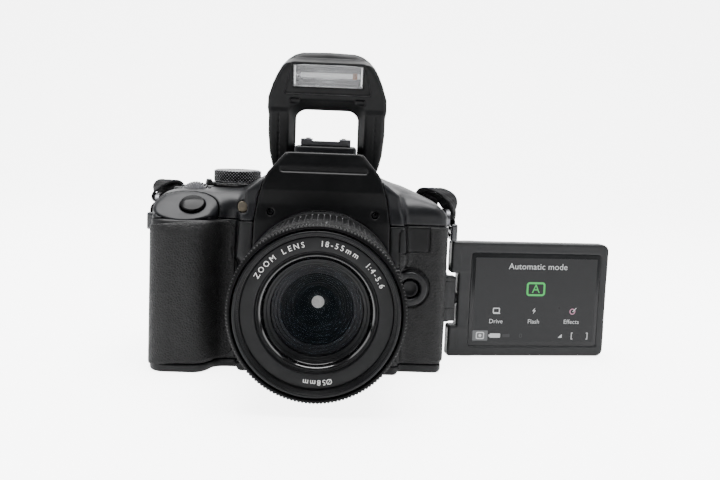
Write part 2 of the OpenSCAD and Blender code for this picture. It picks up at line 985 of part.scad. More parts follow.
// The slides on the tails and the buckles that the rest of the strap clips to
module strap_fittings() {
    color(web_black) {
        adjuster(-80.3, 0, 57);
        adjuster(61.8, 0, 56.5);
        block([-78, 15.2, 37], [-65.2, 20, 51]);
        block([42.4, 15.2, 57.6], [54.8, 20, 70.3]);
    }
}

// ---------- output ----------

front_cover();
grip_shell();
rear_cover();
top_cover();
base_cover();
mirror_box();
grip_skin();
thumb_skin();
side_skin();
mount_ring();
hot_shoe();
tripod_socket();
strap_lugs();
eyecup();
eyepiece_lens();
red_eye_lamp();
main_board();
image_sensor();
pentamirror();
shutter_unit();
battery_pack();
cover_screws();
lens_barrel();
flash_arm();
flash_window();
flash_tube();
lcd_hinge();
lcd_housing();
lcd_screen();
shutter_button();
iso_button();
display_button();
menu_button();
info_button();
live_view_button();
lock_button();
point_button();
set_button();
playback_button();
erase_button();
lens_release_button();
cross_keys();
main_dial();
mode_dial();
power_lever();
quick_dial();
diopter_knob();
battery_door();
audio_cover();
video_cover();
reflex_mirror();
zoom_ring();
inner_barrel();
focus_ring();
front_element();
focus_switch();
stabilizer_switch();
strap_web_left();
strap_web_right();
strap_fittings();
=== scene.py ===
# Looks of a single-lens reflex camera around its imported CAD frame. Metres, +Z up, -Y to the viewer.
import json
import math

import bmesh
import bpy
import numpy as np
from mathutils import Matrix, Vector


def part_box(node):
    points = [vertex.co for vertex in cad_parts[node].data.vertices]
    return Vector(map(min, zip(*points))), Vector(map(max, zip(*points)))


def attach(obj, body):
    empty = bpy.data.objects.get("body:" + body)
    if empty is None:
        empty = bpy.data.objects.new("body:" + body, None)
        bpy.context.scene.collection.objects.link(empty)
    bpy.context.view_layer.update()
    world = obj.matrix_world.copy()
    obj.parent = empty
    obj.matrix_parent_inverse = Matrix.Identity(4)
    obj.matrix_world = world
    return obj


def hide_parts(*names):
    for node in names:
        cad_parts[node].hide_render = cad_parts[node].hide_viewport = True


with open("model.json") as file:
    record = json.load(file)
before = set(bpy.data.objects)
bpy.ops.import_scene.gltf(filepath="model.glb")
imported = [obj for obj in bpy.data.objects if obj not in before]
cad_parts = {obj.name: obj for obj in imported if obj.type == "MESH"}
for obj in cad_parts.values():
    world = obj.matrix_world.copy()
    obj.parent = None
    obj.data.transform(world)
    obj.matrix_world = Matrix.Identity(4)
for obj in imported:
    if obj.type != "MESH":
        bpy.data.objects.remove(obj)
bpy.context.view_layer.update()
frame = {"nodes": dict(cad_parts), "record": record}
nodes = frame["nodes"]
record = frame["record"]
MM = 0.001


def node_box(name):
    """Lowest and highest corner of a CAD node, in millimetres."""
    low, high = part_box(name)
    return np.array(low) / MM, np.array(high) / MM


# Driving places, all read from the frame, in millimetres
mount_low, mount_high = node_box("mount_ring")
AXIS_Z = (mount_low[2] + mount_high[2]) / 2
FLANGE = mount_low[1]
LENS_FRONT = node_box("inner_barrel")[0][1]
LENS_R = (node_box("zoom_ring")[1][2] - node_box("zoom_ring")[0][2]) / 2
base_low, base_high = node_box("base_cover")
BODY_LEFT, BODY_RIGHT = base_low[0], base_high[0]
BODY_BACK = base_high[1]
GRIP_FRONT = base_low[1]
DECK = node_box("top_cover")[0][2]
joints = {j["name"]: j for j in record["behaviour"]["joints"]}


def joint_at(name):
    return np.array(joints[name]["pos_m"]) / MM


# ---------- camera ----------

# Placed ahead of the lens, a little to the right and above it, and turned back to the object
camera_data = bpy.data.cameras.new("view")
camera = bpy.data.objects.new("view", camera_data)
bpy.context.scene.collection.objects.link(camera)
bpy.context.scene.camera = camera
camera_data.lens = 46.37
camera_data.sensor_width = 36
camera_data.clip_start = 0.01
ASIDE, STAND_OFF, RISE = 0.00515, 0.33225, 0.06572
camera.location = (ASIDE, LENS_FRONT * MM - STAND_OFF, AXIS_Z * MM + RISE)
YAW, PITCH, ROLL = math.radians(1.658), math.radians(6.428), math.radians(-2.252)
ahead = Vector((math.sin(YAW) * math.cos(PITCH), math.cos(YAW) * math.cos(PITCH), -math.sin(PITCH)))
level = Vector((math.cos(YAW), -math.sin(YAW), 0))
upright = level.cross(ahead)
right = level * math.cos(ROLL) - upright * math.sin(ROLL)
up = upright * math.cos(ROLL) + level * math.sin(ROLL)
camera.rotation_euler = Matrix((right, up, -ahead)).transposed().to_euler()
camera_data.dof.use_dof = False

# ---------- mesh tools ----------

SHARP_ANGLE = 0.6


def add_object(name, mesh, material, body, smooth=True, replaces=()):
    obj = bpy.data.objects.new(name, mesh)
    bpy.context.scene.collection.objects.link(obj)
    mesh.materials.append(material)
    if smooth:
        mesh.polygons.foreach_set("use_smooth", [True] * len(mesh.polygons))
    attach(obj, body)
    if replaces:
        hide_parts(*replaces)
    return obj


def mesh_from(name, verts, quads):
    """A mesh from millimetre points and faces of 3 or 4 corners."""
    mesh = bpy.data.meshes.new(name)
    mesh.from_pydata((np.asarray(verts) * MM).tolist(), [], [tuple(q) for q in quads])
    mesh.update()
    return mesh


def quad_mesh(name, verts, quads):
    """The fast way in for an array of quads."""
    mesh = bpy.data.meshes.new(name)
    quads = np.asarray(quads, dtype=np.int32)
    mesh.vertices.add(len(verts))
    mesh.vertices.foreach_set("co", (np.asarray(verts, dtype=np.float64) * MM).ravel())
    mesh.loops.add(quads.size)
    mesh.loops.foreach_set("vertex_index", quads.ravel())
    mesh.polygons.add(len(quads))
    mesh.polygons.foreach_set("loop_start", np.arange(0, quads.size, 4))
    mesh.update(calc_edges=True)
    return mesh


def lathe(name, profile, steps=128, wave=None, closed=False):
    """Turns (radius, y) points round the lens axis. wave(i, angles) gives each ring's added radius."""
    angles = np.arange(steps) * 2 * np.pi / steps
    rings = []
    for i, (r, y) in enumerate(profile):
        radius = np.full(steps, float(r))
        if wave is not None:
            radius = radius + wave(i, angles)
        rings.append(np.stack([radius * np.sin(angles), np.full(steps, float(y)),
                               AXIS_Z + radius * np.cos(angles)], 1))
    count = len(rings)
    verts = np.concatenate(rings)
    i, j = np.meshgrid(np.arange(count if closed else count - 1), np.arange(steps), indexing="ij")
    i2, j2 = (i + 1) % count, (j + 1) % steps
    quads = np.stack([i * steps + j, i * steps + j2, i2 * steps + j2, i2 * steps + j], -1)
    return quad_mesh(name, verts, quads.reshape(-1, 4))


def rounded(points, radius=0.4, arc=4):
    """The open outline of (r, y) points with each inner corner rounded."""
    out = [points[0]]
    for k in range(1, len(points) - 1):
        a, b, c = (np.array(points[m], float) for m in (k - 1, k, k + 1))
        to_a, to_c = a - b, c - b
        la, lc = np.linalg.norm(to_a), np.linalg.norm(to_c)
        cut = min(radius, la * 0.45, lc * 0.45)
        p, q = b + to_a / la * cut, b + to_c / lc * cut
        for s in np.linspace(0, 1, arc):
            out.append(tuple((1 - s) ** 2 * p + 2 * s * (1 - s) * b + s * s * q))
    out.append(points[-1])
    return out


def box_mesh(name, low, high, bevel=0.5, segments=3):
    """A block with rounded edges, in millimetres."""
    x, y, z = zip(low, high)
    verts = [(x[i], y[j], z[k]) for i in (0, 1) for j in (0, 1) for k in (0, 1)]
    faces = [(0, 1, 3, 2), (4, 6, 7, 5), (0, 4, 5, 1), (2, 3, 7, 6), (0, 2, 6, 4), (1, 5, 7, 3)]
    return bevelled(mesh_from(name, verts, faces), bevel, segments)


def prism_mesh(name, outline, low, high, bevel=0.4, segments=3, turn=None):
    """An outline in (u, v) raised along w from low to high, its edges rounded."""
    n = len(outline)
    verts = [(u, v, low) for u, v in outline] + [(u, v, high) for u, v in outline]
    faces = [tuple(range(n))[::-1], tuple(range(n, 2 * n))]
    faces += [(i, (i + 1) % n, n + (i + 1) % n, n + i) for i in range(n)]
    return bevelled(mesh_from(name, verts, faces), bevel, segments, turn)


def bevelled(mesh, width=0, segments=1, turn=None):
    """Faces turned outward, sharp edges rounded by a width in millimetres, and the whole then placed."""
    bm = bmesh.new()
    bm.from_mesh(mesh)
    bmesh.ops.recalc_face_normals(bm, faces=bm.faces)
    if width > 0:
        sharp = [e for e in bm.edges if len(e.link_faces) == 2 and e.calc_face_angle() > SHARP_ANGLE]
        bmesh.ops.bevel(bm, geom=sharp, offset=width * MM, segments=segments, profile=0.6,
                        affect="EDGES", clamp_overlap=True)
    if turn is not None:
        bm.transform(turn)
    bm.to_mesh(mesh)
    bm.free()
    mesh.update()
    return mesh


def joined(name, meshes):
    """One mesh out of several."""
    bm = bmesh.new()
    for m in meshes:
        bm.from_mesh(m)
    out = bpy.data.meshes.new(name)
    bm.to_mesh(out)
    bm.free()
    out.update()
    return out


def circle(r, n, centre=(0, 0)):
    angles = np.linspace(0, 2 * np.pi, n, endpoint=False)
    return [(centre[0] + r * math.cos(a), centre[1] + r * math.sin(a)) for a in angles]


def round_rect(width, height, r, n=6, centre=(0, 0)):
    points = []
    for sx, sy, a0 in ((1, 1, 0), (-1, 1, 90), (-1, -1, 180), (1, -1, 270)):
        for k in range(n + 1):
            a = math.radians(a0 + 90 * k / n)
            points.append((centre[0] + sx * (width / 2 - r) + r * math.cos(a),
                           centre[1] + sy * (height / 2 - r) + r * math.sin(a)))
    return points


def box_middle(name):
    """Centre of a CAD node's box, in millimetres."""
    low, high = node_box(name)
    return (low + high) / 2


def placed(mesh, place):
    mesh.transform(place)
    return mesh


def facing(direction, at, spin=0.0):
    """Matrix in metres that takes +Z to a direction and the origin to a point in millimetres."""
    turn = Vector(direction).to_track_quat("Z", "Y").to_matrix().to_4x4()
    return Matrix.Translation(Vector(at) * MM) @ turn @ Matrix.Rotation(spin, 4, "Z")


# ---------- distance fields ----------


def smooth_min(a, b, k):
    """Two fields joined, with a fillet of about k."""
    h = np.clip(0.5 + 0.5 * (b - a) / k, 0, 1)
    return b * (1 - h) + a * h - k * h * (1 - h)


def smooth_max(a, b, k):
    """What two fields share, with an edge rounded by about k."""
    return -smooth_min(-a, -b, k)


def sd_box(p, low, high, r=0.0):
    """Distance to a block with edges rounded by r."""
    low, high = np.asarray(low, float), np.asarray(high, float)
    q = np.abs(p - (low + high) / 2) - (high - low) / 2 + r
    return np.linalg.norm(np.maximum(q, 0), axis=-1) + np.minimum(q.max(-1), 0) - r


def sd_polygon(u, v, outline):
    """Distance to a closed outline in a plane, negative inside."""
    pts = np.asarray(outline, float)
    best = np.full(u.shape, 1e9)
    inside = np.zeros(u.shape, bool)
    for (ax, ay), (bx, by) in zip(pts, np.roll(pts, -1, 0)):
        ex, ey = bx - ax, by - ay
        wx, wy = u - ax, v - ay
        t = np.clip((wx * ex + wy * ey) / (ex * ex + ey * ey), 0, 1)
        best = np.minimum(best, (wx - ex * t) ** 2 + (wy - ey * t) ** 2)
        cross = (ay <= v) != (by <= v)
        if ey != 0:
            inside ^= cross & (u < ax + ex * (v - ay) / ey)
    best = np.sqrt(best)
    return np.where(inside, -best, best)


def sd_prism(flat, w, low, high, r=0.0):
    """A planar distance raised along w, with edges rounded by r."""
    d = np.stack([flat + r, np.abs(w - (low + high) / 2) - (high - low) / 2 + r], -1)
    return np.linalg.norm(np.maximum(d, 0), axis=-1) + np.minimum(d.max(-1), 0) - r


def sd_tube(p, at, direction, radius, low, high, r=0.0):
    """A round bar along a direction from a point, between two distances along it."""
    n = np.asarray(direction, float)
    n = n / np.linalg.norm(n)
    q = p - np.asarray(at, float)
    w = q @ n
    return sd_prism(np.linalg.norm(q - w[..., None] * n, axis=-1) - radius, w, low, high, r)


def field_mesh(name, field, low, high, step):
    """The surface where a distance field is zero, as quads, one point for each cell it crosses."""
    low, high = np.asarray(low, float) - 2 * step, np.asarray(high, float) + 2 * step
    block = 6
    size = np.ceil((high - low) / step / block).astype(int)
    centres = [low[a] + (np.arange(size[a]) + 0.5) * block * step for a in range(3)]
    coarse = field(np.stack(np.meshgrid(*centres, indexing="ij"), -1).reshape(-1, 3)).reshape(size)
    near = np.abs(coarse) < block * step * 1.15

    def spread_out(grid):
        return grid.repeat(block, 0).repeat(block, 1).repeat(block, 2)

    # only the blocks near the surface are worked out point by point
    values = spread_out(coarse).astype(np.float32)
    mask = spread_out(near)
    where = np.argwhere(mask)
    values[mask] = field(low + where * step)
    shape = np.array(values.shape)
    solid = values < 0
    corners = [(i, j, k) for i in (0, 1) for j in (0, 1) for k in (0, 1)]
    total = np.zeros(shape - 1, np.int8)
    for i, j, k in corners:
        total += solid[i:shape[0] - 1 + i, j:shape[1] - 1 + j, k:shape[2] - 1 + k]
    cells = (total > 0) & (total < 8)
    ids = np.full(cells.shape, -1, np.int64)
    at = np.argwhere(cells)
    ids[cells] = np.arange(len(at))
    sums, hits = np.zeros((len(at), 3)), np.zeros(len(at))
    for a in corners:
        for axis in range(3):
            if a[axis]:
                continue
            b = list(a)
            b[axis] = 1
            va = values[at[:, 0] + a[0], at[:, 1] + a[1], at[:, 2] + a[2]]
            vb = values[at[:, 0] + b[0], at[:, 1] + b[1], at[:, 2] + b[2]]
            cut = (va < 0) != (vb < 0)
            t = np.where(cut, va / np.where(cut, va - vb, 1), 0)
            point = np.tile(np.array(a, float), (len(at), 1))
            point[:, axis] += t
            sums[cut] += point[cut]
            hits[cut] += 1
    verts = low + (at + sums / hits[:, None]) * step
    # two steps along the slope pull the points onto the surface
    eps = step * 0.1
    for _ in range(2):
        d = field(verts)
        grad = np.stack([field(verts + eps * e) - field(verts - eps * e) for e in np.eye(3)], -1)
        grad /= 2 * eps
        g2 = np.maximum((grad ** 2).sum(-1), 0.2)
        move = -grad * (d / g2)[:, None]
        reach = np.maximum(np.linalg.norm(move, axis=1), 1e-9)
        verts += move * np.minimum(1, step * 0.5 / reach)[:, None]
    # a quad round each grid edge that crosses the surface
    quads = []
    for axis in range(3):
        u, v = (axis + 1) % 3, (axis + 2) % 3
        a = [slice(1, -1)] * 3
        b = [slice(1, -1)] * 3
        a[axis], b[axis] = slice(0, -1), slice(1, None)
        s0, s1 = solid[tuple(a)], solid[tuple(b)]
        start = np.array([1, 1, 1])
        start[axis] = 0
        for flip, pick in ((False, s0 & ~s1), (True, ~s0 & s1)):
            e = np.argwhere(pick) + start
            ring = []
            for du, dv in ((1, 1), (0, 1), (0, 0), (1, 0)):
                c = e.copy()
                c[:, u] -= du
                c[:, v] -= dv
                ring.append(ids[c[:, 0], c[:, 1], c[:, 2]])
            q = np.stack(ring[::-1] if flip else ring, 1)
            quads.append(q[(q >= 0).all(1)])
    return quad_mesh(name, verts, np.concatenate(quads))


def add_field(name, field, low, high, step, material, body, replaces=()):
    """A piece meshed from a distance field."""
    mesh = field_mesh(name, field, low, high, step)
    return add_object(name, mesh, material, body, replaces=replaces)


# ---------- materials ----------


# Sockets of a colour mix node
MIX_FACTOR, MIX_FROM, MIX_TO, MIX_OUT = 0, 6, 7, 2
WORN_TINT = 1.9


class Shader:
    """A node material with a Principled shader, with short calls for the nodes that feed it."""

    def __init__(self, name, colour, roughness, **sockets):
        self.material = bpy.data.materials.new(name)
        self.material.use_nodes = True
        self.tree = self.material.node_tree
        self.bsdf = self.tree.nodes["Principled BSDF"]
        self.colour = colour
        self.roughness = roughness
        self.bsdf.inputs["Base Color"].default_value = (*colour, 1)
        self.bsdf.inputs["Roughness"].default_value = roughness
        for socket, value in sockets.items():
            self.bsdf.inputs[socket.replace("_", " ")].default_value = value
        self.place = self.node("ShaderNodeTexCoord").outputs["Object"]
        self.height = None

    def node(self, kind, **values):
        """A new node with its properties and input values set by name."""
        made = self.tree.nodes.new(kind)
        for key, value in values.items():
            if hasattr(made, key):
                setattr(made, key, value)
            else:
                made.inputs[key.replace("_", " ")].default_value = value
        return made

    def link(self, source, target):
        self.tree.links.new(source, target)

    def noise(self, size, detail=3, stretch=(1, 1, 1)):
        """Noise whose features are about size millimetres across."""
        mapping = self.node("ShaderNodeMapping")
        mapping.inputs["Scale"].default_value = [s / (size * MM) for s in stretch]
        self.link(self.place, mapping.inputs["Vector"])
        made = self.node("ShaderNodeTexNoise", Scale=1.0, Detail=float(detail))
        self.link(mapping.outputs["Vector"], made.inputs["Vector"])
        return made.outputs["Fac"]

    def cells(self, size):
        """Distance to the edges of cells about size millimetres across."""
        made = self.node("ShaderNodeTexVoronoi", feature="DISTANCE_TO_EDGE", Scale=1 / (size * MM))
        self.link(self.place, made.inputs["Vector"])
        return made.outputs["Distance"]

    def spread(self, source, low, high, from_low=0.3, from_high=0.7):
        """A value mapped from one range to another."""
        made = self.node("ShaderNodeMapRange", From_Min=from_low, From_Max=from_high, To_Min=low, To_Max=high)
        self.link(source, made.inputs["Value"])
        return made.outputs["Result"]

    def vary_colour(self, source, amount=0.25):
        """Darker and lighter patches of the base colour."""
        ramp = self.node("ShaderNodeValToRGB")
        dark = [c * (1 - amount) for c in self.colour]
        light = [min(1, c * (1 + amount)) for c in self.colour]
        for stop, position, shade in zip(ramp.color_ramp.elements, (0.3, 0.7), (dark, light)):
            stop.position = position
            stop.color = (*shade, 1)
        self.link(source, ramp.inputs["Fac"])
        self.link(ramp.outputs["Color"], self.bsdf.inputs["Base Color"])

    def vary_roughness(self, source, amount=0.06):
        self.link(self.spread(source, self.roughness - amount, self.roughness + amount),
                  self.bsdf.inputs["Roughness"])

    def bump(self, source, depth, strength=1.0):
        """Adds relief of a depth in millimetres."""
        made = self.node("ShaderNodeBump", Strength=strength, Distance=depth * MM)
        self.link(source, made.inputs["Height"])
        if self.height is not None:
            self.link(self.height, made.inputs["Normal"])
        self.height = made.outputs["Normal"]
        self.link(self.height, self.bsdf.inputs["Normal"])

    def pointiness(self):
        return self.node("ShaderNodeNewGeometry").outputs["Pointiness"]

    def tip_edges(self, edge, patch, tip):
        """Turns the colour towards a tip colour where both masks are high: paler worn edges, and painted
        highlights on ridges.
        """
        both = self.node("ShaderNodeMath", operation="MULTIPLY")
        self.link(edge, both.inputs[0])
        self.link(patch, both.inputs[1])
        mix = self.node("ShaderNodeMix", data_type="RGBA")
        base = self.bsdf.inputs["Base Color"]
        if base.links:
            self.link(base.links[0].from_socket, mix.inputs[MIX_FROM])
        else:
            mix.inputs[MIX_FROM].default_value = (*self.colour, 1)
        mix.inputs[MIX_TO].default_value = (*tip, 1)
        self.link(both.outputs[0], mix.inputs[MIX_FACTOR])
        self.link(mix.outputs[MIX_OUT], base)

    def wear(self, size, amount):
        """Slightly paler edges, in patches of a size."""
        edge = self.spread(self.pointiness(), 0, amount, 0.52, 0.6)
        patch = self.spread(self.noise(size), 0.3, 1.0)
        self.tip_edges(edge, patch, [min(1, c * WORN_TINT + 0.01) for c in self.colour])


def plastic(name, colour, roughness, grain, depth, shine=0.3):
    """Moulded plastic with a fine grain, a little uneven, its edges faintly worn."""
    s = Shader(name, colour, roughness, Specular_IOR_Level=shine)
    s.vary_colour(s.noise(14, 4), 0.10)
    s.vary_roughness(s.noise(6, 3), 0.05)
    s.bump(s.noise(grain, 2), depth, 0.5)
    s.wear(5, 0.35)
    return s.material


def ridged(name, colour, tip, roughness):
    """Black plastic painted lighter on its sharp ridges, a painted highlight, and left in a very dark base
    colour in the grooves, a painted shade; the specular also rises on the ridges and falls in the grooves.
    """
    s = Shader(name, colour, roughness)
    edge = s.spread(s.pointiness(), 0, 1, 0.5, 0.56)
    # painted highlight: the ridges turn towards the light tip colour, in patches
    s.tip_edges(edge, s.spread(s.noise(3), 0.55, 1.0), tip)
    s.link(s.spread(edge, 0.08, 1.0, 0, 1), s.bsdf.inputs["Specular IOR Level"])
    s.bump(s.noise(0.5, 2), 0.006, 0.5)
    return s.material


def leather(name, colour, roughness, cell=1.15, depth=0.16):
    """Moulded rubber with a pebbled, leather-like grain."""
    s = Shader(name, colour, roughness, Specular_IOR_Level=0.3)
    cells = s.spread(s.cells(cell), 0, 1, 0.0, 0.35)
    small = s.spread(s.cells(cell * 0.45), 0, 1, 0.0, 0.4)
    s.vary_colour(s.noise(9, 3), 0.18)
    s.bump(cells, depth, 0.85)
    s.bump(small, depth * 0.35, 0.6)
    s.vary_roughness(s.noise(4, 2), 0.06)
    return s.material


def metal(name, colour, roughness, stretch=(1, 1, 1), depth=0.012, size=0.5):
    """Bare metal with fine marks, drawn out by a stretch where it is brushed."""
    s = Shader(name, colour, roughness, Metallic=1.0)
    s.vary_colour(s.noise(7, 3), 0.08)
    s.vary_roughness(s.noise(3, 4), 0.07)
    s.bump(s.noise(size, 3, stretch), depth, 0.5)
    return s.material


def coated_glass(name, colour, film, alpha=0.25):
    """A dark lens surface with a coloured anti-reflection film, seen through."""
    s = Shader(name, colour, 0.22, Specular_IOR_Level=0.02, Specular_Tint=(*film, 1), Alpha=alpha)
    s.vary_roughness(s.noise(15, 2), 0.012)
    s.vary_colour(s.noise(20, 2), 0.2)
    s.material.surface_render_method = "BLENDED"
    return s.material


def webbing(name, colour):
    """Flat woven web: ribs across, threads along."""
    s = Shader(name, colour, 0.82, Sheen_Weight=0.04, Sheen_Roughness=0.5, Specular_IOR_Level=0.15)
    ribs = s.node("ShaderNodeTexWave", bands_direction="Z", Scale=110.0, Distortion=0.3)
    s.link(s.place, ribs.inputs["Vector"])
    cross = s.node("ShaderNodeTexWave", bands_direction="DIAGONAL", Scale=160.0, Distortion=0.5)
    s.link(s.place, cross.inputs["Vector"])
    s.vary_colour(ribs.outputs["Fac"], 0.45)
    s.bump(ribs.outputs["Fac"], 0.25, 0.9)
    s.bump(cross.outputs["Fac"], 0.12, 0.7)
    return s.material


BODY_BLACK = (0.0035, 0.0037, 0.0042)
DECK_GREY = (0.0046, 0.0049, 0.0060)
body_plastic = plastic("body_plastic", BODY_BLACK, 0.42, 0.3, 0.03)
deck_plastic = plastic("deck_plastic", DECK_GREY, 0.38, 0.28, 0.022)
smooth_black = plastic("smooth_black", (0.0022, 0.0023, 0.0026), 0.34, 0.4, 0.010, shine=0.2)
plate_grey = plastic("plate_grey", (0.0060, 0.0063, 0.0078), 0.36, 0.3, 0.012, shine=0.2)
flash_black = plastic("flash_black", (0.0032, 0.0034, 0.0038), 0.42, 0.3, 0.03, shine=0.22)
inner_black = plastic("inner_black", (0.005, 0.005, 0.005), 0.62, 0.5, 0.05)
grip_rubber = leather("grip_rubber", (0.0050, 0.0051, 0.0053), 0.5)
soft_rubber = plastic("soft_rubber", (0.007, 0.007, 0.0073), 0.62, 0.25, 0.03)
button_plastic = plastic("button_plastic", (0.006, 0.0062, 0.0068), 0.34, 0.3, 0.015)
button_gloss = plastic("button_gloss", (0.0012, 0.0012, 0.0014), 0.16, 0.6, 0.003, shine=0.12)
dial_plastic = plastic("dial_plastic", (0.006, 0.0062, 0.0068), 0.26, 0.3, 0.02, shine=0.6)
lens_plastic = plastic("lens_plastic", (0.0045, 0.0046, 0.005), 0.4, 0.3, 0.018)
lens_satin = plastic("lens_satin", (0.0030, 0.0033, 0.0037), 0.38, 0.35, 0.012, shine=0.22)
retainer_gloss = plastic("retainer_gloss", (0.0012, 0.0012, 0.0014), 0.12, 0.6, 0.003, shine=0.9)
# Lens rubber: its ridges are painted lighter as painted glints, its very dark base is painted shade in the
# grooves
lens_rubber = ridged("lens_rubber", (0.0016, 0.0016, 0.0018), (0.030, 0.030, 0.032), 0.36)
# Grey of the glass seat, lighter than the lens plastic: painted light over the shade of the deep seat
seat_painted_light = plastic("seat_painted_light", (0.013, 0.013, 0.015), 0.4, 0.35, 0.012, shine=0.3)
screen_frame = plastic("screen_frame", (0.011, 0.0115, 0.0122), 0.4, 0.28, 0.02)
mount_steel = metal("mount_steel", (0.62, 0.62, 0.64), 0.24, (1, 12, 1))
shoe_metal = metal("shoe_metal", (0.09, 0.09, 0.095), 0.36, (1, 8, 1))
lug_metal = metal("lug_metal", (0.16, 0.16, 0.17), 0.38)
socket_brass = metal("socket_brass", (0.5, 0.48, 0.44), 0.3)
screw_black = metal("screw_black", (0.012, 0.012, 0.013), 0.35)
mirror_glass = metal("mirror_glass", (0.82, 0.84, 0.86), 0.05, depth=0.002)
reflector_metal = metal("reflector_metal", (0.86, 0.87, 0.88), 0.16, (14, 1, 1), 0.02, 2.0)
circuit_board = plastic("circuit_board", (0.01, 0.06, 0.035), 0.35, 0.8, 0.08)
sensor_glass = coated_glass("sensor_glass", (0.05, 0.08, 0.07), (0.6, 0.9, 0.8), 1.0)
lamp_shader = Shader("lamp_plastic", (0.105, 0.088, 0.062), 0.45, Specular_IOR_Level=0.3)
lamp_shader.vary_colour(lamp_shader.noise(2.2), 0.35)
lamp_shader.vary_roughness(lamp_shader.noise(2), 0.06)
lamp_shader.bump(lamp_shader.cells(0.7), 0.05, 0.5)
eyepiece_glass = coated_glass("eyepiece_glass", (0.02, 0.022, 0.03), (0.75, 0.7, 1.0), 0.55)
strap_web = webbing("strap_web", (0.0045, 0.0045, 0.005))
# Knurl plastic of the dials: its ridges are painted lighter as painted glints, its very dark base is painted
# shade in the grooves
knurl_plastic = ridged("knurl_plastic", (0.0012, 0.0012, 0.0014), (0.13, 0.13, 0.14), 0.2)
lens_depths = plastic("lens_depths", (0.0030, 0.0038, 0.0046), 0.4, 0.5, 0.01, shine=0.15)
strap_plastic = plastic("strap_plastic", (0.010, 0.011, 0.014), 0.25, 0.4, 0.015, shine=0.7)
white_print = plastic("white_print", (0.62, 0.62, 0.60), 0.5, 0.3, 0.01)
grey_print = plastic("grey_print", (0.30, 0.30, 0.29), 0.5, 0.3, 0.01)

# ---------- body covers ----------

release_low, release_high = node_box("lens_release_button")
RELEASE = np.array([(release_low[0] + release_high[0]) / 2, AXIS_Z])
RELEASE_R = 3.9
MODE = joint_at("mode_dial_turn")
DIAL = joint_at("main_dial_turn")
RING = joint_at("quick_dial_turn")
HINGE = joint_at("screen_swing")
PIN = joint_at("flash_lift")
SHUTTER_AXIS = -np.array(joints["shutter_press"]["axis"])
SHUTTER = np.array([-56.0, -38.0, 72.0])
BAY_TOP = node_box("lcd_housing")[1][2] + 0.8
SEAM_Y = -18.4
SEAM_GAP = 0.12
BASE_SEAM = base_high[2]
LAMP = box_middle("red_eye_lamp")
screws_low, screws_high = node_box("cover_screws")
screw_z = (screws_low[2] + screws_high[2]) / 2
SCREW_R = 1.8
SCREWS = [(screws_low[0] + SCREW_R, screw_z), (screws_high[0] - SCREW_R, screw_z)]


def inset(outline, r):
    """A closed outline moved inward by r, corners mitred. The outline runs anticlockwise."""
    pts = np.asarray(outline, float)
    area = np.sum(pts[:, 0] * np.roll(pts[:, 1], -1) - np.roll(pts[:, 0], -1) * pts[:, 1])
    if area < 0:
        pts = pts[::-1]
    out = []
    for a, b, c in zip(np.roll(pts, 1, 0), pts, np.roll(pts, -1, 0)):
        d1, d2 = (b - a) / np.linalg.norm(b - a), (c - b) / np.linalg.norm(c - b)
        n1, n2 = np.array([-d1[1], d1[0]]), np.array([-d2[1], d2[0]])
        out.append(b + (n1 + n2) * r / (1 + n1 @ n2))
    return np.array(out)


def soft_outline(u, v, outline, r):
    """Distance to an outline whose outward corners are rounded by r."""
    return sd_polygon(u, v, inset(outline, r)) - r


def rect2(u, v, u0, u1, v0, v1, r):
    """Distance in a plane to a rectangle with corners rounded by r."""
    qu = np.abs(u - (u0 + u1) / 2) - (u1 - u0) / 2 + r
    qv = np.abs(v - (v0 + v1) / 2) - (v1 - v0) / 2 + r
    return np.hypot(np.maximum(qu, 0), np.maximum(qv, 0)) + np.minimum(np.maximum(qu, qv), 0) - r


# Outlines of the top in the front view (x, z) and the side view (y, z)
SHOULDER_VIEW = [(BODY_LEFT, -20), (BODY_RIGHT, -20), (BODY_RIGHT, 70.5), (50.5, 75.2), (36, 81.4),
                 (28, 83.2), (-28, 83.2), (-34, 79), (-62, 78.4), (-69, 76.4), (BODY_LEFT, 71.6)]
SHOULDER_SIDE = [(BODY_BACK, -20), (BODY_BACK, 77.6), (6, 83.4), (-20, 83.4), (-26, 79.4), (-30.4, 77.4),
                 (-45.6, 66), (GRIP_FRONT, 61.4), (GRIP_FRONT, -20)]
HUMP_VIEW = [(-36, 50), (36, 50), (33, 79), (25.4, 84.8), (24, 87.4), (17, 95.6), (15.2, 96.6),
             (-15.2, 96.6), (-17, 95.6), (-24, 87.4), (-25.4, 84.8), (-33, 79)]
HUMP_SIDE = [(16, 50), (16, 84.8), (-35.6, 84.8), (-35.6, 96.6), (-38.2, 96.6), (-40.2, 90), (-41.8, 80),
             (-41.8, 50)]


def body_field(p):
    """Distance to the whole outer body, before it is parted into covers."""
    x, y, z = p[:, 0], p[:, 1], p[:, 2]
    core = rect2(x, y, BODY_LEFT + 4, BODY_RIGHT, -35, BODY_BACK, 5)
    grip = rect2(x, y, BODY_LEFT, -46.2, GRIP_FRONT, 8, 10.5)
    mount = rect2(x, y, -35.4, 35.4, -41.6, 0, 2.6)
    flat = smooth_min(smooth_min(core, mount, 3.5), grip, 8)
    low = sd_prism(flat, z, 0, 130, 1.8)
    top = smooth_max(soft_outline(x, z, SHOULDER_VIEW, 2.2), soft_outline(y, z, SHOULDER_SIDE, 1.8), 3)
    body = smooth_max(low, top, 3.2)
    hump = smooth_max(soft_outline(x, z, HUMP_VIEW, 1.0), soft_outline(y, z, HUMP_SIDE, 0.9), 1.4)
    body = smooth_min(body, hump, 4.5)
    pedestal = sd_box(p, (-14.4, -6.6, 60), (14.4, 17.6, 98.6), 1.2)
    return smooth_min(body, pedestal, 1.0)


def minus(a, b, k=0.35):
    """One field cut out of another."""
    return smooth_max(a, -b, k)


def lens_bar(p, radius, back, front):
    """A bar round the lens axis between two y places."""
    return sd_tube(p, (0, 0, AXIS_Z), (0, -1, 0), radius, -back, -front)


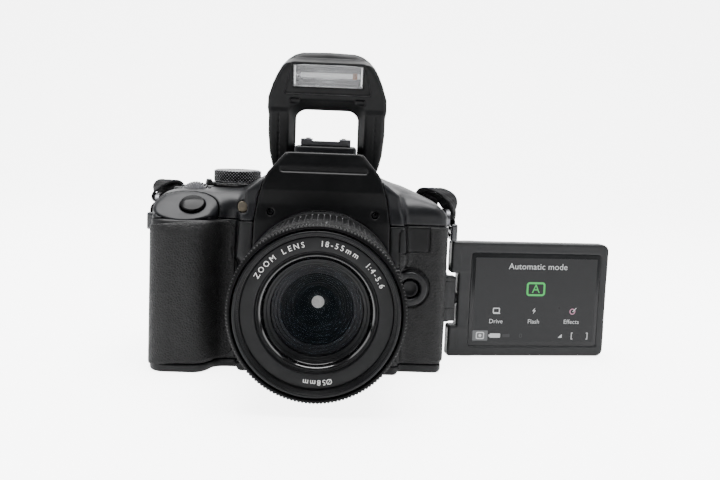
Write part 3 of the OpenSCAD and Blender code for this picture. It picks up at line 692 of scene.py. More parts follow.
def button_place(name):
    """Centre of a CAD button's cap and the direction in which it stands proud."""
    axis = -np.array(joints[name.replace("_button", "") + "_press"]["axis"])
    return box_middle(name), axis


def holes(p, names, radius):
    """The bores of some buttons."""
    best = np.full(len(p), 1e3)
    for name in names:
        at, axis = button_place(name)
        best = np.minimum(best, sd_tube(p, at, axis, radius, -6, 12))
    return best


# The flash is drawn in its closed frame and stands raised by this angle about its pin
FLASH_UP = math.radians(80)
to_pin = Matrix.Translation(Vector(PIN) * MM)
from_pin = Matrix.Translation(-Vector(PIN) * MM)
flash_turn = to_pin @ Matrix.Rotation(-FLASH_UP, 4, "X") @ from_pin
flash_place = flash_turn @ Matrix.Translation(Vector((0, PIN[1], PIN[2])) * MM)
FLASH_EDGE = [(-4.5, 24.4), (0, 25.9), (6, 27.2), (16, 28.0), (24, 27.9), (27.4, 28.5), (32.6, 28.3),
              (35, 27.5), (39, 26.2), (43, 24.4), (46.5, 22.4), (49.5, 19.6), (51.8, 16.4), (53.2, 12.6),
              (53.9, 0)]
FLASH_SIDE = [(3.4, -1.4), (2.0, -2.9), (-26, -2.9), (-28, -2.3), (-49.4, -1.5), (-50.6, 6.4), (-53.9, 8.4),
              (-53.9, 10.4), (-50, 12.5), (-40, 13.1), (-26, 12.5), (-10, 8.4), (2.0, 4.9), (3.4, 3.6)]


def flash_field(q):
    """The flash in its closed frame: x across, y from the pin and negative to the tip, z up."""
    x, y, z = q[:, 0], q[:, 1], q[:, 2]
    edge = [(w, -d) for d, w in FLASH_EDGE] + [(-w, -d) for d, w in FLASH_EDGE[-2::-1]]
    f = smooth_max(soft_outline(x, y, edge, 1.6), soft_outline(y, z, FLASH_SIDE, 0.9), 2.4)
    arch = rect2(x, y, -15.1, 15.1, -26.4, 60, 5.4)
    f = smooth_max(f, -arch, 0.9)
    # wide reveal round the arch on the window's side, sloping in to the opening
    depth = np.clip((z + 3.2) / 5.2, 0, 1)
    reveal = rect2(x, y, -18.6 + 3.1 * depth, 18.6 - 3.1 * depth, -33.2 + 5.6 * depth, 60, 7.0)
    f = smooth_max(f, -np.maximum(reveal * 0.75, z - 2.0), 0.5)
    # bezel: a recessed field round the window, wider at its foot
    field = soft_outline(x, y, [(-20.6, -34.6), (20.6, -34.6), (17.2, -49.3), (-17.2, -49.3)], 0.9)
    f = minus(f, sd_prism(field, z, -20, -0.6, 0), 0.15)
    f = minus(f, sd_box(q, (-16.7, -48.4, -9), (16.7, -37.8, 8), 0.8), 0.3)
    # two latch slots and the bores of the hinge pin
    for side in (-1, 1):
        f = minus(f, sd_box(q, (side * 15.4 - 2.4, -32.6, -9), (side * 15.4 + 2.4, -29.8, -0.9), 0.8), 0.4)
        f = minus(f, sd_tube(q, (side * 21 - 7, 0, 0), (1, 0, 0), 0.95, 0, 14), 0.1)
    # a fine groove along each side of the window's side
    groove = np.maximum(np.abs(np.abs(x) - 22.9) - 0.14, np.abs(z + 2.8) - 0.35)
    return minus(f, np.maximum(groove, np.abs(y + 12) - 14), 0.1)


PANEL_VIEW = [(-28.8, -9), (28.8, -9), (29.6, 56), (29.3, 66), (27.6, 77), (24.6, 87.2), (17.4, 96.3),
              (-17.4, 96.3), (-24.6, 87.2), (-27.6, 77), (-29.3, 66), (-29.6, 56)]


def panel_region(p):
    """Inside the dark front panel, seen from the front."""
    return np.maximum(soft_outline(p[:, 0], p[:, 2], PANEL_VIEW, 1.0), p[:, 1] + 36.4)


def shutter_region(p, grow=0.0):
    """Inside the oval plate on the sloping top of the grip."""
    q = p - SHUTTER
    slope = np.array([0, SHUTTER_AXIS[2], -SHUTTER_AXIS[1]])
    v = q @ slope
    oval = (np.hypot((q[:, 0] + 3.2) / 14.4, (v + 0.4) / 9.6) - 1) * 9.6 - grow
    return np.maximum(oval, np.abs(q @ SHUTTER_AXIS) - 5.5 - grow)


def top_field(p):
    """The top cover with its seats for the flash, the dials and the buttons."""
    x, y, z = p[:, 0], p[:, 1], p[:, 2]
    f = smooth_max(body_field(p), DECK + SEAM_GAP - z, 0.5)
    # facet round the shutter button, mode dial seat, main dial slot and its thumb scoop
    f = minus(f, sd_tube(p, SHUTTER, SHUTTER_AXIS, 7.4, -0.9, 12), 0.8)
    f = minus(f, sd_tube(p, SHUTTER, SHUTTER_AXIS, 5.5, -7, 12))
    f = minus(f, sd_tube(p, MODE, (0, 0, 1), 13.2, 0, 30), 0.5)
    f = minus(f, sd_tube(p, MODE, (0, 0, 1), 4.4, -7, 30))
    f = minus(f, sd_tube(p, DIAL, (0, 1, 0), 8.3, -3.7, 3.7), 0.4)
    f = minus(f, np.linalg.norm((p - DIAL - (0, 0, 9.5)) * (0.75, 0.6, 1), axis=1) - 5.4, 1.2)
    f = minus(f, holes(p, ["iso_button", "display_button"], 2.7))
    f = minus(f, holes(p, ["live_view_button"], 3.3))
    lamp = sd_prism(rect2(x, z, LAMP[0] - 2.4, LAMP[0] + 2.4, LAMP[2] - 2.5, LAMP[2] + 2.5, 1.9), y, -60, -24)
    f = minus(f, lamp, 0.4)
    f = minus(f, lens_bar(p, 33.0, -30, -60))
    # viewfinder tunnel and the seat of the eyesight knob
    f = minus(f, sd_box(p, (-9, 12, 79), (9, 22, 91), 1.0))
    f = minus(f, sd_tube(p, box_middle("diopter_knob"), (0, 1, 0), 1.3, -6, 8))
    f = minus(f, shutter_region(p, 0.14), 0.1)
    # room for the flash when it is folded down
    f = minus(f, flash_field(p - (0, PIN[1], PIN[2])) - 0.45, 0.3)
    return minus(f, panel_region(p) - SEAM_GAP, 0.15)


def panel_field(p):
    """The dark panel round the lens mount, up over the front of the finder."""
    x, z = p[:, 0], p[:, 2]
    f = smooth_max(body_field(p), panel_region(p) + SEAM_GAP, 0.3)
    f = smooth_max(f, BASE_SEAM + SEAM_GAP - z, 0.5)
    plate = sd_prism(soft_outline(x, z, [(-19.6, 87.6), (19.6, 87.6), (15.8, 95.4), (-15.8, 95.4)], 1.2),
                     p[:, 1], -60, -39.9, 0)
    f = minus(f, plate, 0.25)
    for sx, sz in SCREWS:
        f = minus(f, sd_tube(p, (sx, 0, sz), (0, -1, 0), 1.6, 40.9, 60), 0.15)
    return minus(f, lens_bar(p, 32.8, -20, -60), 0.5)


def plate_field(p):
    """The smooth oval plate round the shutter button."""
    f = smooth_max(body_field(p) - 0.12, shutter_region(p) + 0.12, 0.4)
    f = np.maximum(f, -(body_field(p) + 1.6))
    return minus(f, sd_tube(p, SHUTTER, SHUTTER_AXIS, 5.45, -7, 12), 0.5)


def front_field(p):
    """The front shell with the grip, hollow behind, and the collar of the lens release."""
    x, y, z = p[:, 0], p[:, 1], p[:, 2]
    f = body_field(p)
    ring = np.hypot(x - RELEASE[0], z - RELEASE[1])
    crescent = sd_prism(np.abs(ring - 6.0) - 1.5, y, -39.6, -30, 0.7)
    crescent = smooth_max(crescent, 33.6 - np.hypot(x, z - AXIS_Z), 0.5)
    f = smooth_min(f, crescent, 1.2)
    f = smooth_max(f, z - DECK + SEAM_GAP, 0.5)
    f = smooth_max(f, y - SEAM_Y + SEAM_GAP, 0.5)
    f = smooth_max(f, BASE_SEAM + SEAM_GAP - z, 0.5)
    f = minus(f, lens_bar(p, 32.6, -30, -60), 0.5)
    f = minus(f, sd_tube(p, (RELEASE[0], 0, RELEASE[1]), (0, -1, 0), RELEASE_R + 0.35, 26, 60), 0.3)
    f = minus(f, sd_box(p, (-69.5, -40, -1), (-48.5, -3, 54), 1))
    f = minus(f, panel_region(p) - SEAM_GAP, 0.15)
    return minus(f, np.maximum(body_field(p) + 9, -36 - y), 0.5)


def seat_boxes(p):
    """Seats of the two rubber covers on the side, and the sockets behind them."""
    best = np.full(len(p), 1e3)
    for name in ("audio_cover", "video_cover"):
        low, high = node_box(name)
        best = np.minimum(best, sd_box(p, (low[0] - 0.3, low[1] - 0.3, low[2] - 0.3),
                                       (high[0] + 3, high[1] + 0.3, high[2] + 0.3), 0.8))
    middle = box_middle("audio_cover")
    best = np.minimum(best, sd_tube(p, (BODY_RIGHT, middle[1], middle[2]), (1, 0, 0), 1.9, -9, 3))
    middle = box_middle("video_cover")
    socket = sd_box(p, (BODY_RIGHT - 8, middle[1] - 2, middle[2] - 5.6),
                    (BODY_RIGHT + 3, middle[1] + 2, middle[2] + 5.6), 0.6)
    return np.minimum(best, socket)


def screen_bay(p):
    """Room for the folded screen and for its hinge."""
    bay = sd_box(p, (-26, 8.2, -3), (BODY_RIGHT + 8, 30, BAY_TOP), 1.2)
    pocket = sd_box(p, (HINGE[0] - 6, -3.4, HINGE[2] - 14), (BODY_RIGHT + 8, 30, HINGE[2] + 14), 0.5)
    return np.minimum(bay, pocket)


REAR_BUTTONS = ["menu_button", "info_button", "lock_button", "point_button", "playback_button",
                "erase_button"]


def rear_field(p):
    y, z = p[:, 1], p[:, 2]
    f = smooth_max(body_field(p), z - DECK + SEAM_GAP, 0.5)
    f = smooth_max(f, SEAM_Y + SEAM_GAP - y, 0.5)
    f = smooth_max(f, BASE_SEAM + SEAM_GAP - z, 0.5)
    f = minus(f, screen_bay(p), 0.6)
    f = minus(f, seat_boxes(p), 0.4)
    f = minus(f, holes(p, REAR_BUTTONS, 2.9))
    f = minus(f, sd_tube(p, (RING[0], 0, RING[2]), (0, 1, 0), 11.4, BODY_BACK - 0.9, 30), 0.4)
    f = minus(f, sd_tube(p, (RING[0], 0, RING[2]), (0, 1, 0), 7.7, 3, 30), 0.3)
    f = minus(f, sd_box(p, (-69.5, -40, -1), (-48.5, -3, 54), 1))
    # ears that hold the screen's hinge pin
    for z0 in (HINGE[2] - 15.3, HINGE[2] + 12.7):
        knuckle = sd_tube(p, (HINGE[0], HINGE[1], 0), (0, 0, 1), 3.2, z0, z0 + 2.7, 0.4)
        root = sd_box(p, (HINGE[0] - 6.6, HINGE[1] - 3.2, z0), (HINGE[0], HINGE[1] + 1.4, z0 + 2.7), 0.4)
        f = np.minimum(f, np.minimum(knuckle, root))
    pin = sd_tube(p, (HINGE[0], HINGE[1], 0), (0, 0, 1), 0.85, HINGE[2] - 15.2, HINGE[2] + 15.2)
    return np.minimum(f, pin)


def base_field(p):
    f = smooth_max(body_field(p), p[:, 2] - BASE_SEAM + SEAM_GAP, 0.4)
    f = minus(f, screen_bay(p), 0.6)
    low, high = node_box("battery_door")
    f = minus(f, sd_box(p, (low[0] - 0.3, low[1] - 0.3, -1), (high[0] + 0.3, high[1] + 0.3, 9), 0.6), 0.3)
    f = minus(f, sd_tube(p, (0, 0, 0), (0, 0, 1), 5.9, -1, 9), 0.3)
    # shallow non-slip grooves under the lens side
    stripes = np.abs((p[:, 1] + 26) % 3.0 - 1.5) - 0.4
    return minus(f, np.maximum(stripes, sd_box(p, (-30, -33, -1), (34, -13, 0.45), 0.2)), 0.2)


def skin(p, region, proud=0.75, k=0.9):
    """A sheet of rubber over the body inside a region."""
    f = body_field(p)
    return smooth_max(np.maximum(f - proud, -(f + 0.5)), region, k)


def grip_region(p):
    x, y, z = p[:, 0], p[:, 1], p[:, 2]
    drop = 0.014 * np.maximum(0, -50 - x) ** 1.6
    front = rect2(x, z + drop, -120, -37.4, 4.9, 65.5, 5.5)
    return np.maximum(front, y + 8.5)


def side_edge(p):
    """Top edge of the rubber on the right, with its rounded corner."""
    return rect2(p[:, 0], p[:, 2], 33.4, 100, 5.2, 65.5, 3.2)


def side_region(p):
    x, y, z = p[:, 0], p[:, 1], p[:, 2]
    front = np.maximum(side_edge(p), 35.4 - np.hypot(x, z - AXIS_Z))
    front = np.maximum(front, 8.6 - np.hypot(x - RELEASE[0], z - RELEASE[1]))
    front = np.maximum(front, -badge_region(p) + 0.12)
    return np.maximum(front, y - SEAM_Y + 0.6)


def badge_region(p):
    """The smooth field let into the corner of the side rubber, left blank."""
    return rect2(p[:, 0], p[:, 2], 20, 47.2, 54.2, 80, 1.6)


def badge_field(p):
    return skin(p, np.maximum(badge_region(p) + 0.12, side_edge(p)), 0.62, 0.6)


def thumb_region(p):
    x, y, z = p[:, 0], p[:, 1], p[:, 2]
    return np.maximum(rect2(x, z, -62.5, -29.8, 41.5, 65.4, 6), 10 - y)


def thumb_field(p):
    """Rubber rest for the thumb, swelling towards the outer side."""
    f = body_field(p)
    swell = np.linalg.norm((p - (-55.5, BODY_BACK - 2.2, 53.5)) * (0.55, 1, 0.42), axis=1) - 5.0
    f = smooth_min(f - 0.6, swell, 5)
    f = smooth_max(np.maximum(f, -(body_field(p) + 0.5)), thumb_region(p), 0.9)
    return minus(f, holes(p, ["lock_button", "point_button"], 3.3), 0.5)


fine = 0.6


def cover(name, field, low, high, material, replaced, step=fine):
    """One of the outer covers of the body."""
    add_field(name, field, low, high, step, material, "camera_body", replaced)


cover("top_shell", top_field, (BODY_LEFT - 1, GRIP_FRONT - 1, DECK - 0.5), (BODY_RIGHT + 1, 18.5, 99.5),
      deck_plastic, ["top_cover"])
cover("front_shell", front_field, (BODY_LEFT - 1, GRIP_FRONT - 1, BASE_SEAM - 0.5),
      (BODY_RIGHT + 1, SEAM_Y + 1, DECK + 0.5), body_plastic, ["grip_shell"])
cover("front_panel", panel_field, (-36, -42.5, BASE_SEAM - 0.5), (36, -35.9, 97.4), smooth_black,
      ["front_cover"])
cover("shutter_plate", plate_field, (SHUTTER[0] - 19, -50, 61), (SHUTTER[0] + 12.5, -25, 82), plate_grey, [],
      step=0.45)
cover("badge_field", badge_field, (32.5, -43, 53.5), (48, -30, 66.2), smooth_black, [], step=0.4)
cover("rear_shell", rear_field, (BODY_LEFT - 1, SEAM_Y - 1, BASE_SEAM - 0.5),
      (BODY_RIGHT + 5, BODY_BACK + 1, DECK + 0.5), body_plastic, ["rear_cover"])
cover("base_shell", base_field, (BODY_LEFT - 1, GRIP_FRONT - 1, -0.5),
      (BODY_RIGHT + 1, BODY_BACK + 1, BASE_SEAM + 0.5), body_plastic, ["base_cover"])
cover("grip_leather", lambda p: skin(p, grip_region(p)), (BODY_LEFT - 2, GRIP_FRONT - 2, 4), (-36, -7, 64),
      grip_rubber, ["grip_skin"])
cover("side_leather", lambda p: skin(p, side_region(p)), (35, -43, 4), (BODY_RIGHT + 2, SEAM_Y, 66),
      grip_rubber, ["side_skin"])
cover("thumb_rest", thumb_field, (-64, 9, 41), (-29, 20, 66), grip_rubber, ["thumb_skin"])

# ---------- lens ----------


# The font's size over the height of its capitals
CAP_TO_SIZE = 1.42


def text_mesh(name, words, size, turn, depth=0.05, spacing=1.0):
    """Plain raised lettering of a cap height in millimetres, standing on the plane of a matrix."""
    curve = bpy.data.curves.new(name, "FONT")
    curve.body = words
    curve.size = size * MM * CAP_TO_SIZE
    curve.align_x = "CENTER"
    curve.align_y = "CENTER"
    curve.extrude = depth * MM
    curve.space_character = spacing
    curve.resolution_u = 3
    holder = bpy.data.objects.new(name, curve)
    bpy.context.scene.collection.objects.link(holder)
    bpy.context.view_layer.update()
    made = bpy.data.meshes.new_from_object(holder)
    bpy.data.objects.remove(holder)
    made.materials.clear()
    made.transform(turn)
    return made


def on_ring(angle, radius, y):
    """Matrix for a glyph on the front of the lens at a clock angle in degrees, its top outward."""
    a = math.radians(angle)
    out = Vector((math.sin(a), 0, math.cos(a)))
    face = Vector((0, -1, 0))
    turn = Matrix((out.cross(face), out, face)).transposed().to_4x4()
    at = Vector((radius * out.x, y, AXIS_Z + radius * out.z)) * MM
    return Matrix.Translation(at) @ turn


def ring_text(name, words, middle, step, radius, y, size):
    """Letters spaced round the front of the lens, centred on a clock angle."""
    widths = {" ": 0.75, "1": 0.7, ":": 0.45, ".": 0.45, "-": 0.7, "m": 1.42, "M": 1.3, "O": 1.15}
    advance = [widths.get(c, 1.0) * step for c in words]
    angle = middle - sum(advance) / 2
    made = []
    for letter, wide in zip(words, advance):
        angle += wide / 2
        if letter != " ":
            made.append(text_mesh(name, letter, size, on_ring(angle, radius, y)))
        angle += wide / 2
    return joined(name, made)


def teeth(rows, count, height, sharp):
    """Ribs round a ring, on the profile rows given."""
    def wave(i, angles):
        if i not in rows:
            return 0
        return height * (np.abs(np.cos(angles * count / 2)) ** sharp - 1)
    return wave


def studs(rows, count, height):
    """Rounded pads in offset rows."""
    def wave(i, angles):
        if i not in rows:
            return 0
        turn = (rows.index(i) // 2 % 2) * math.pi / count
        return height * (np.clip(np.cos((angles + turn) * count) * 2 + 0.4, -1, 1) - 1) / 2
    return wave


def add_rows(profile, radius, places):
    """Adds points of one radius to a profile and gives back their numbers."""
    first = len(profile)
    profile += [(radius, y) for y in places]
    return list(range(first, len(profile)))


def add_lathe(name, profile, material, body, steps=160, replaces=(), wave=None, closed=False):
    """A piece turned round the lens axis."""
    mesh = lathe(name, profile, steps, wave, closed)
    add_object(name, mesh, material, body, replaces=replaces)


switch_middle = box_middle("focus_switch")
barrel_y = [FLANGE, node_box("zoom_ring")[1][1], node_box("zoom_ring")[0][1], node_box("focus_ring")[1][1],
            LENS_FRONT]

# Fixed barrel: flange skirt, rear band, seat of the rings
outer = rounded([(26.2, FLANGE + 5.6), (26.2, FLANGE - 0.2), (31.6, FLANGE - 0.2), (32.3, FLANGE - 1.2),
                 (32.5, FLANGE - 3.0), (33.0, FLANGE - 3.6), (LENS_R - 0.1, FLANGE - 5),
                 (LENS_R - 0.1, barrel_y[1] + 0.25), (31.4, barrel_y[1] + 0.2), (31.4, LENS_FRONT + 4.0),
                 (31.05, LENS_FRONT + 4.0), (31.05, FLANGE - 9), (25, FLANGE - 9), (25, FLANGE + 5.6)], 0.5)
add_lathe("barrel_shell", outer, lens_plastic, "camera_body", replaces=["lens_barrel"],
          closed=True)

# Plate on the side of the barrel, with its two sliding switches
plate_turn = facing((1, 0, 0), (LENS_R - 1.9, switch_middle[1] + 0.8, AXIS_Z), math.radians(90))
mesh = prism_mesh("switch_plate", round_rect(21, 8.6, 1.2), 0, 2.15, 0.3, 3, plate_turn)
add_object("switch_plate", mesh, smooth_black, "camera_body")
for switch in ("focus_switch", "stabilizer_switch"):
    low, high = node_box(switch)
    slide_low, slide_high = (LENS_R - 1.2, low[1] + 0.1, low[2] + 0.2), (LENS_R + 0.9, high[1] - 0.1,
                                                                         high[2] - 0.2)
    parts = [box_mesh(switch + "_slide", slide_low, slide_high, 0.35)]
    for k in range(5):
        y = low[1] + 0.55 + k * 0.62
        rib_low, rib_high = (LENS_R + 0.5, y - 0.13, low[2] + 0.4), (LENS_R + 1.2, y + 0.13, high[2] - 0.4)
        parts.append(box_mesh(switch, rib_low, rib_high, 0.1, 2))
    add_object(switch + "_slide", joined(switch, parts), button_plastic, switch, replaces=[switch])

# Mount ring of turned steel
steel = rounded([(27.1, FLANGE + 7.4), (27.1, FLANGE + 0.05), (32.1, FLANGE + 0.05), (32.1, FLANGE + 2.3),
                 (27.9, FLANGE + 2.5), (27.9, FLANGE + 7.4)], 0.25)
add_lathe("mount_flange", steel, mount_steel, "camera_body", replaces=["mount_ring"],
          closed=True)

# Zoom ring: rubber with long ribs between two plain bands
z0, z1 = barrel_y[1] - 0.15, barrel_y[2] + 0.15
zoom_profile = [(31.9, z0), (LENS_R - 0.2, z0), (LENS_R, z0 - 0.25), (LENS_R, z0 - 2.4),
                (LENS_R - 0.5, z0 - 2.6)]
ridges = add_rows(zoom_profile, LENS_R + 0.15, np.linspace(z0 - 2.8, z1 + 3.2, 14))
zoom_profile += [(LENS_R - 0.5, z1 + 3.0), (LENS_R, z1 + 2.8), (LENS_R, z1 + 0.25), (LENS_R - 0.2, z1),
                 (31.9, z1)]
add_lathe("zoom_grip", zoom_profile, lens_rubber, "zoom_ring", 960, ["zoom_ring"],
          teeth(ridges, 84, 0.75, 0.55), closed=True)

# Focus ring: a band of raised pads, then fine teeth at the front rim
f0, f1 = barrel_y[3] - 0.1, LENS_FRONT
focus_profile = [(31.9, f0), (LENS_R - 0.3, f0), (LENS_R - 0.1, f0 - 0.3), (LENS_R - 0.1, f0 - 1.6)]
pads = add_rows(focus_profile, LENS_R + 0.12, np.linspace(f0 - 2.0, f1 + 6.6, 12))
focus_profile += [(LENS_R - 0.35, f1 + 6.2), (LENS_R - 0.35, f1 + 5.6)]
rim = add_rows(focus_profile, LENS_R + 0.2, np.linspace(f1 + 5.3, f1 + 1.5, 6))
focus_profile += [(LENS_R - 0.6, f1 + 1.0), (LENS_R - 1.0, f1 + 0.5), (31.8, f1 + 0.5), (31.6, f1 + 1.2)]
focus_wave, rim_wave = studs(pads, 60, 0.5), teeth(rim, 150, 0.5, 0.7)


def both_waves(i, angles):
    return focus_wave(i, angles) + rim_wave(i, angles)


add_lathe("focus_grip", focus_profile, lens_rubber, "focus_ring", 1200, ["focus_ring"],
          both_waves, closed=True)

# Front of the inner barrel: lip, filter thread, name ring, and the steps down to the glass
LF = LENS_FRONT
front_profile = [(30.7, LF + 30), (30.7, LF + 1.2), (31.0, LF + 0.4), (30.8, LF - 0.05), (30.2, LF - 0.25),
                 (29.75, LF - 0.1), (29.55, LF + 0.3)]
for k in range(5):
    y = LF + 0.5 + k * 0.62
    front_profile += [(29.5, y), (29.05, y + 0.16), (29.05, y + 0.3), (29.5, y + 0.46)]
front_profile += [(29.3, LF + 3.7), (28.6, LF + 3.95), (28.4, LF + 3.65), (28.1, LF + 3.6), (23.2, LF + 3.6),
                  (22.9, LF + 4.1), (22.6, LF + 5.0), (22.1, LF + 4.9), (21.9, LF + 4.6), (21.5, LF + 4.6)]
front_profile += [(21.45, LF + 5.2), (21.4, LF + 6.7), (19.9, LF + 6.9), (19.7, LF + 7.3), (18.9, LF + 7.5),
                  (18.7, LF + 8.1), (17.6, LF + 8.6), (17.3, LF + 9.2), (17.3, LF + 30)]
add_lathe("front_barrel", rounded(front_profile, 0.14, 3), lens_satin, "lens_front", 192,
          ["inner_barrel"])

# Glossy ring that holds the front glass
retainer = [(21.5, LF + 5.0), (21.2, LF + 5.15), (20.7, LF + 5.65), (20.3, LF + 6.2), (20.0, LF + 6.8),
            (19.8, LF + 7.0)]
add_lathe("glass_retainer", retainer, retainer_gloss, "lens_front")

# Generic values on the name ring
MARKS_R, MARKS_Y, MARKS_HEIGHT = 25.9, LF + 3.58, 2.05
for label, words, middle, step in (("mark_name", "ZOOM LENS", -36, 5.5), ("mark_range", "18-55mm", 18, 4.7),
                                   ("mark_stop", "1:4-5.6", 55, 4.6), ("mark_filter", "Ø58mm", 178, 4.2)):
    mesh = ring_text(label, words, middle, step, MARKS_R, MARKS_Y, MARKS_HEIGHT)
    add_object(label, mesh, white_print, "lens_front", smooth=False)

# Glass and the baffles seen through it


def dome(name, radius, rim_y, sag, rings=14, steps=96):
    """A lens surface of a rim radius whose middle stands sag millimetres ahead of the rim."""
    points = []
    for k in range(rings + 1):
        t = k / rings
        points.append((max(radius * (1 - t), 0.001), rim_y - sag * (1 - (1 - t) ** 2)))
    return lathe(name, points, steps)


# The front glass's teal-grey base colour is a painted reflection of its coating
front_coat_painted_reflection = coated_glass("front_coating", (0.010, 0.0145, 0.018), (0.55, 0.75, 1.0), 0.28)
add_object("front_glass", dome("front_glass", 17.25, LF + 11.0, 3.4), front_coat_painted_reflection, "lens_front",
           replaces=["front_element"])
# The seat's lighter grey is painted light that lifts the shade of its deep place behind the glass
seat = [(17.25, LF + 11.2), (16.3, LF + 11.5), (16.2, LF + 11.9), (15.1, LF + 12.2), (15.0, LF + 12.6),
        (13.9, LF + 12.9), (13.8, LF + 13.4)]
add_lathe("glass_seat", rounded(seat, 0.1, 2), seat_painted_light, "lens_front", 128)
baffle = [(13.85, LF + 13.0)]
for k in range(5):
    r, y = 13.7 - 0.95 * k, LF + 13.2 + 1.8 * k
    baffle += [(r, y + 1.4), (r - 0.25, y + 1.3), (r - 0.25, y + 1.6), (r - 0.95, y + 1.8)]
baffle += [(8.6, LF + 23.5), (6.8, LF + 26.2), (4.2, LF + 28.1), (2.3, LF + 28.7)]
add_lathe("lens_baffles", rounded(baffle, 0.2, 3), lens_depths, "lens_front", 128)

# Pale light that comes through from the finder
pupil_shader = Shader("pupil_glow", (0.5, 0.5, 0.48), 0.6, Emission_Strength=0.2,
                      Emission_Color=(0.9, 0.9, 0.86, 1))
pupil_shader.vary_colour(pupil_shader.noise(1.2), 0.2)
add_object("light_through", dome("light_through", 2.5, LF + 28.3, 0.3, 5, 40), pupil_shader.material,
           "lens_front")

# ---------- flash ----------


def local(p, place):
    """Points seen from a placed frame."""
    inverse = np.array(place.inverted())
    return ((p * MM) @ inverse[:3, :3].T + inverse[:3, 3]) / MM


def flash_world(p):
    """The flash at its raised place."""
    return flash_field(local(p, flash_place))


flash_low, flash_high = node_box("flash_arm")
add_field("flash_frame", flash_world, flash_low - 1, flash_high + 1, 0.5,
          flash_black, "flash", ["flash_arm"])

# Clear window with fine horizontal ribs on its face, closed by a flat back and four sides
WINDOW_X, WINDOW_Y0, WINDOW_Y1, WINDOW_BACK = 16.5, -48.2, -38.0, 0.2
rows = 44
ys = np.linspace(WINDOW_Y0, WINDOW_Y1, rows * 4 + 1)
ribs = 0.16 * np.abs(((ys - WINDOW_Y0) / (10.2 / rows)) % 1 - 0.5)
xs = np.linspace(-WINDOW_X, WINDOW_X, 25)
verts = [(x, y, -1.6 + rib) for y, rib in zip(ys, ribs) for x in xs]
n, lines = len(xs), len(ys)
quads = [(i * n + j, (i + 1) * n + j, (i + 1) * n + j + 1, i * n + j + 1)
         for i in range(lines - 1) for j in range(n - 1)]
back = len(verts)
verts += [(-WINDOW_X, WINDOW_Y0, WINDOW_BACK), (WINDOW_X, WINDOW_Y0, WINDOW_BACK),
          (WINDOW_X, WINDOW_Y1, WINDOW_BACK), (-WINDOW_X, WINDOW_Y1, WINDOW_BACK)]
last = (lines - 1) * n
quads += [(back, back + 1, back + 2, back + 3),
          tuple(range(n)) + (back + 1, back),
          tuple(last + j for j in range(n))[::-1] + (back + 3, back + 2),
          tuple(i * n for i in range(lines))[::-1] + (back, back + 3),
          tuple(i * n + n - 1 for i in range(lines)) + (back + 2, back + 1)]
mesh = bevelled(placed(mesh_from("flash_lens", verts, quads), flash_place))
lens_shader = Shader("flash_lens", (0.5, 0.505, 0.51), 0.18, Alpha=0.22, Specular_IOR_Level=0.4)
lens_shader.vary_roughness(lens_shader.noise(3), 0.04)
add_object("flash_lens", mesh, lens_shader.material, "flash", smooth=False, replaces=["flash_window"])


# Silvered trough behind it, half an ellipse across the window, with its ends and folds
TUBE_Y, TUBE_Z = -43.1, 2.8
TROUGH_HALF, TROUGH_DEEP, TROUGH_RIM = 4.9, 6.2, 0.4
trough = []
for k in range(17):
    a = math.pi * k / 16
    trough.append((TUBE_Y + TROUGH_HALF * math.cos(a), TROUGH_RIM + TROUGH_DEEP * math.sin(a)))
outer_trough = [(y + (0.5 if y > TUBE_Y else -0.5), z + 0.45) for y, z in trough]
section = trough + outer_trough[::-1]
verts = [(x, y, z) for x in (-15.6, 15.6) for y, z in section]
m = len(section)
faces = [(i, (i + 1) % m, m + (i + 1) % m, m + i) for i in range(m)]
faces += [tuple(range(m))[::-1], tuple(range(m, 2 * m))]
shell_mesh = mesh_from("flash_reflector", verts, faces)
ends = [box_mesh("end", (s * 15.9 - 0.45, -47.6, 1.3), (s * 15.9 + 0.45, -38.6, 6.9), 0.2) for s in (-1, 1)]
folds = []
for k in range(6):
    y = -47.0 + k * 1.55
    depth = TROUGH_RIM + TROUGH_DEEP * math.sqrt(max(0.0, 1 - ((y - TUBE_Y) / TROUGH_HALF) ** 2))
    folds.append(box_mesh("fold", (-15.4, y - 0.16, depth - 0.7), (15.4, y + 0.16, depth + 0.2), 0.05, 1))
mesh = placed(joined("reflector_folds", folds), flash_place)
add_object("reflector_folds", mesh, lug_metal, "flash")
mesh = bevelled(placed(joined("flash_reflector", [shell_mesh] + ends), flash_place))
add_object("flash_reflector", mesh, reflector_metal, "flash", replaces=["flash_tube"])


def tube_bar(name, x, radius, length, bevel, material):
    """A round bar with rounded ends, on the line of the flash tube."""
    place = facing((1, 0, 0), (x, TUBE_Y, TUBE_Z))
    mesh = placed(prism_mesh(name, circle(radius, 32), 0, length, bevel, 3, place), flash_place)
    add_object(name, mesh, material, "flash")


tube_shader = Shader("tube_glass", (0.85, 0.86, 0.86), 0.08, Emission_Strength=0.10,
                     Emission_Color=(1, 1, 1, 1), Alpha=0.75)
tube_shader.vary_roughness(tube_shader.noise(2), 0.03)
tube_bar("xenon_tube", -15.2, 1.25, 30.4, 0.3, tube_shader.material)
amber = plastic("amber_end", (0.30, 0.13, 0.05), 0.4, 0.4, 0.02)
tube_bar("tube_end_right", 11.6, 1.5, 2.3, 0.4, amber)
tube_bar("tube_end_left", -14.9, 1.45, 1.9, 0.4, mount_steel)

# ---------- screen ----------

twist = joints["screen_twist"]
along = Vector(twist["axis"]).normalized()
through = Vector((-along.y, along.x, 0))
PANEL_AT = Vector(joint_at("screen_twist"))
# A frame with x along the open panel from the hinge, y through its thickness and z up
panel_axes = Matrix((along, through, Vector((0, 0, 1)))).transposed().to_4x4()
panel_turn = Matrix.Translation(PANEL_AT * MM) @ panel_axes
PANEL_X0, PANEL_W, PANEL_H, PANEL_T = 6.8, 75.0, 55.4, 7.6
FRONT = -PANEL_T / 2


def on_panel(mesh):
    mesh.transform(panel_turn)
    mesh.update()
    return mesh


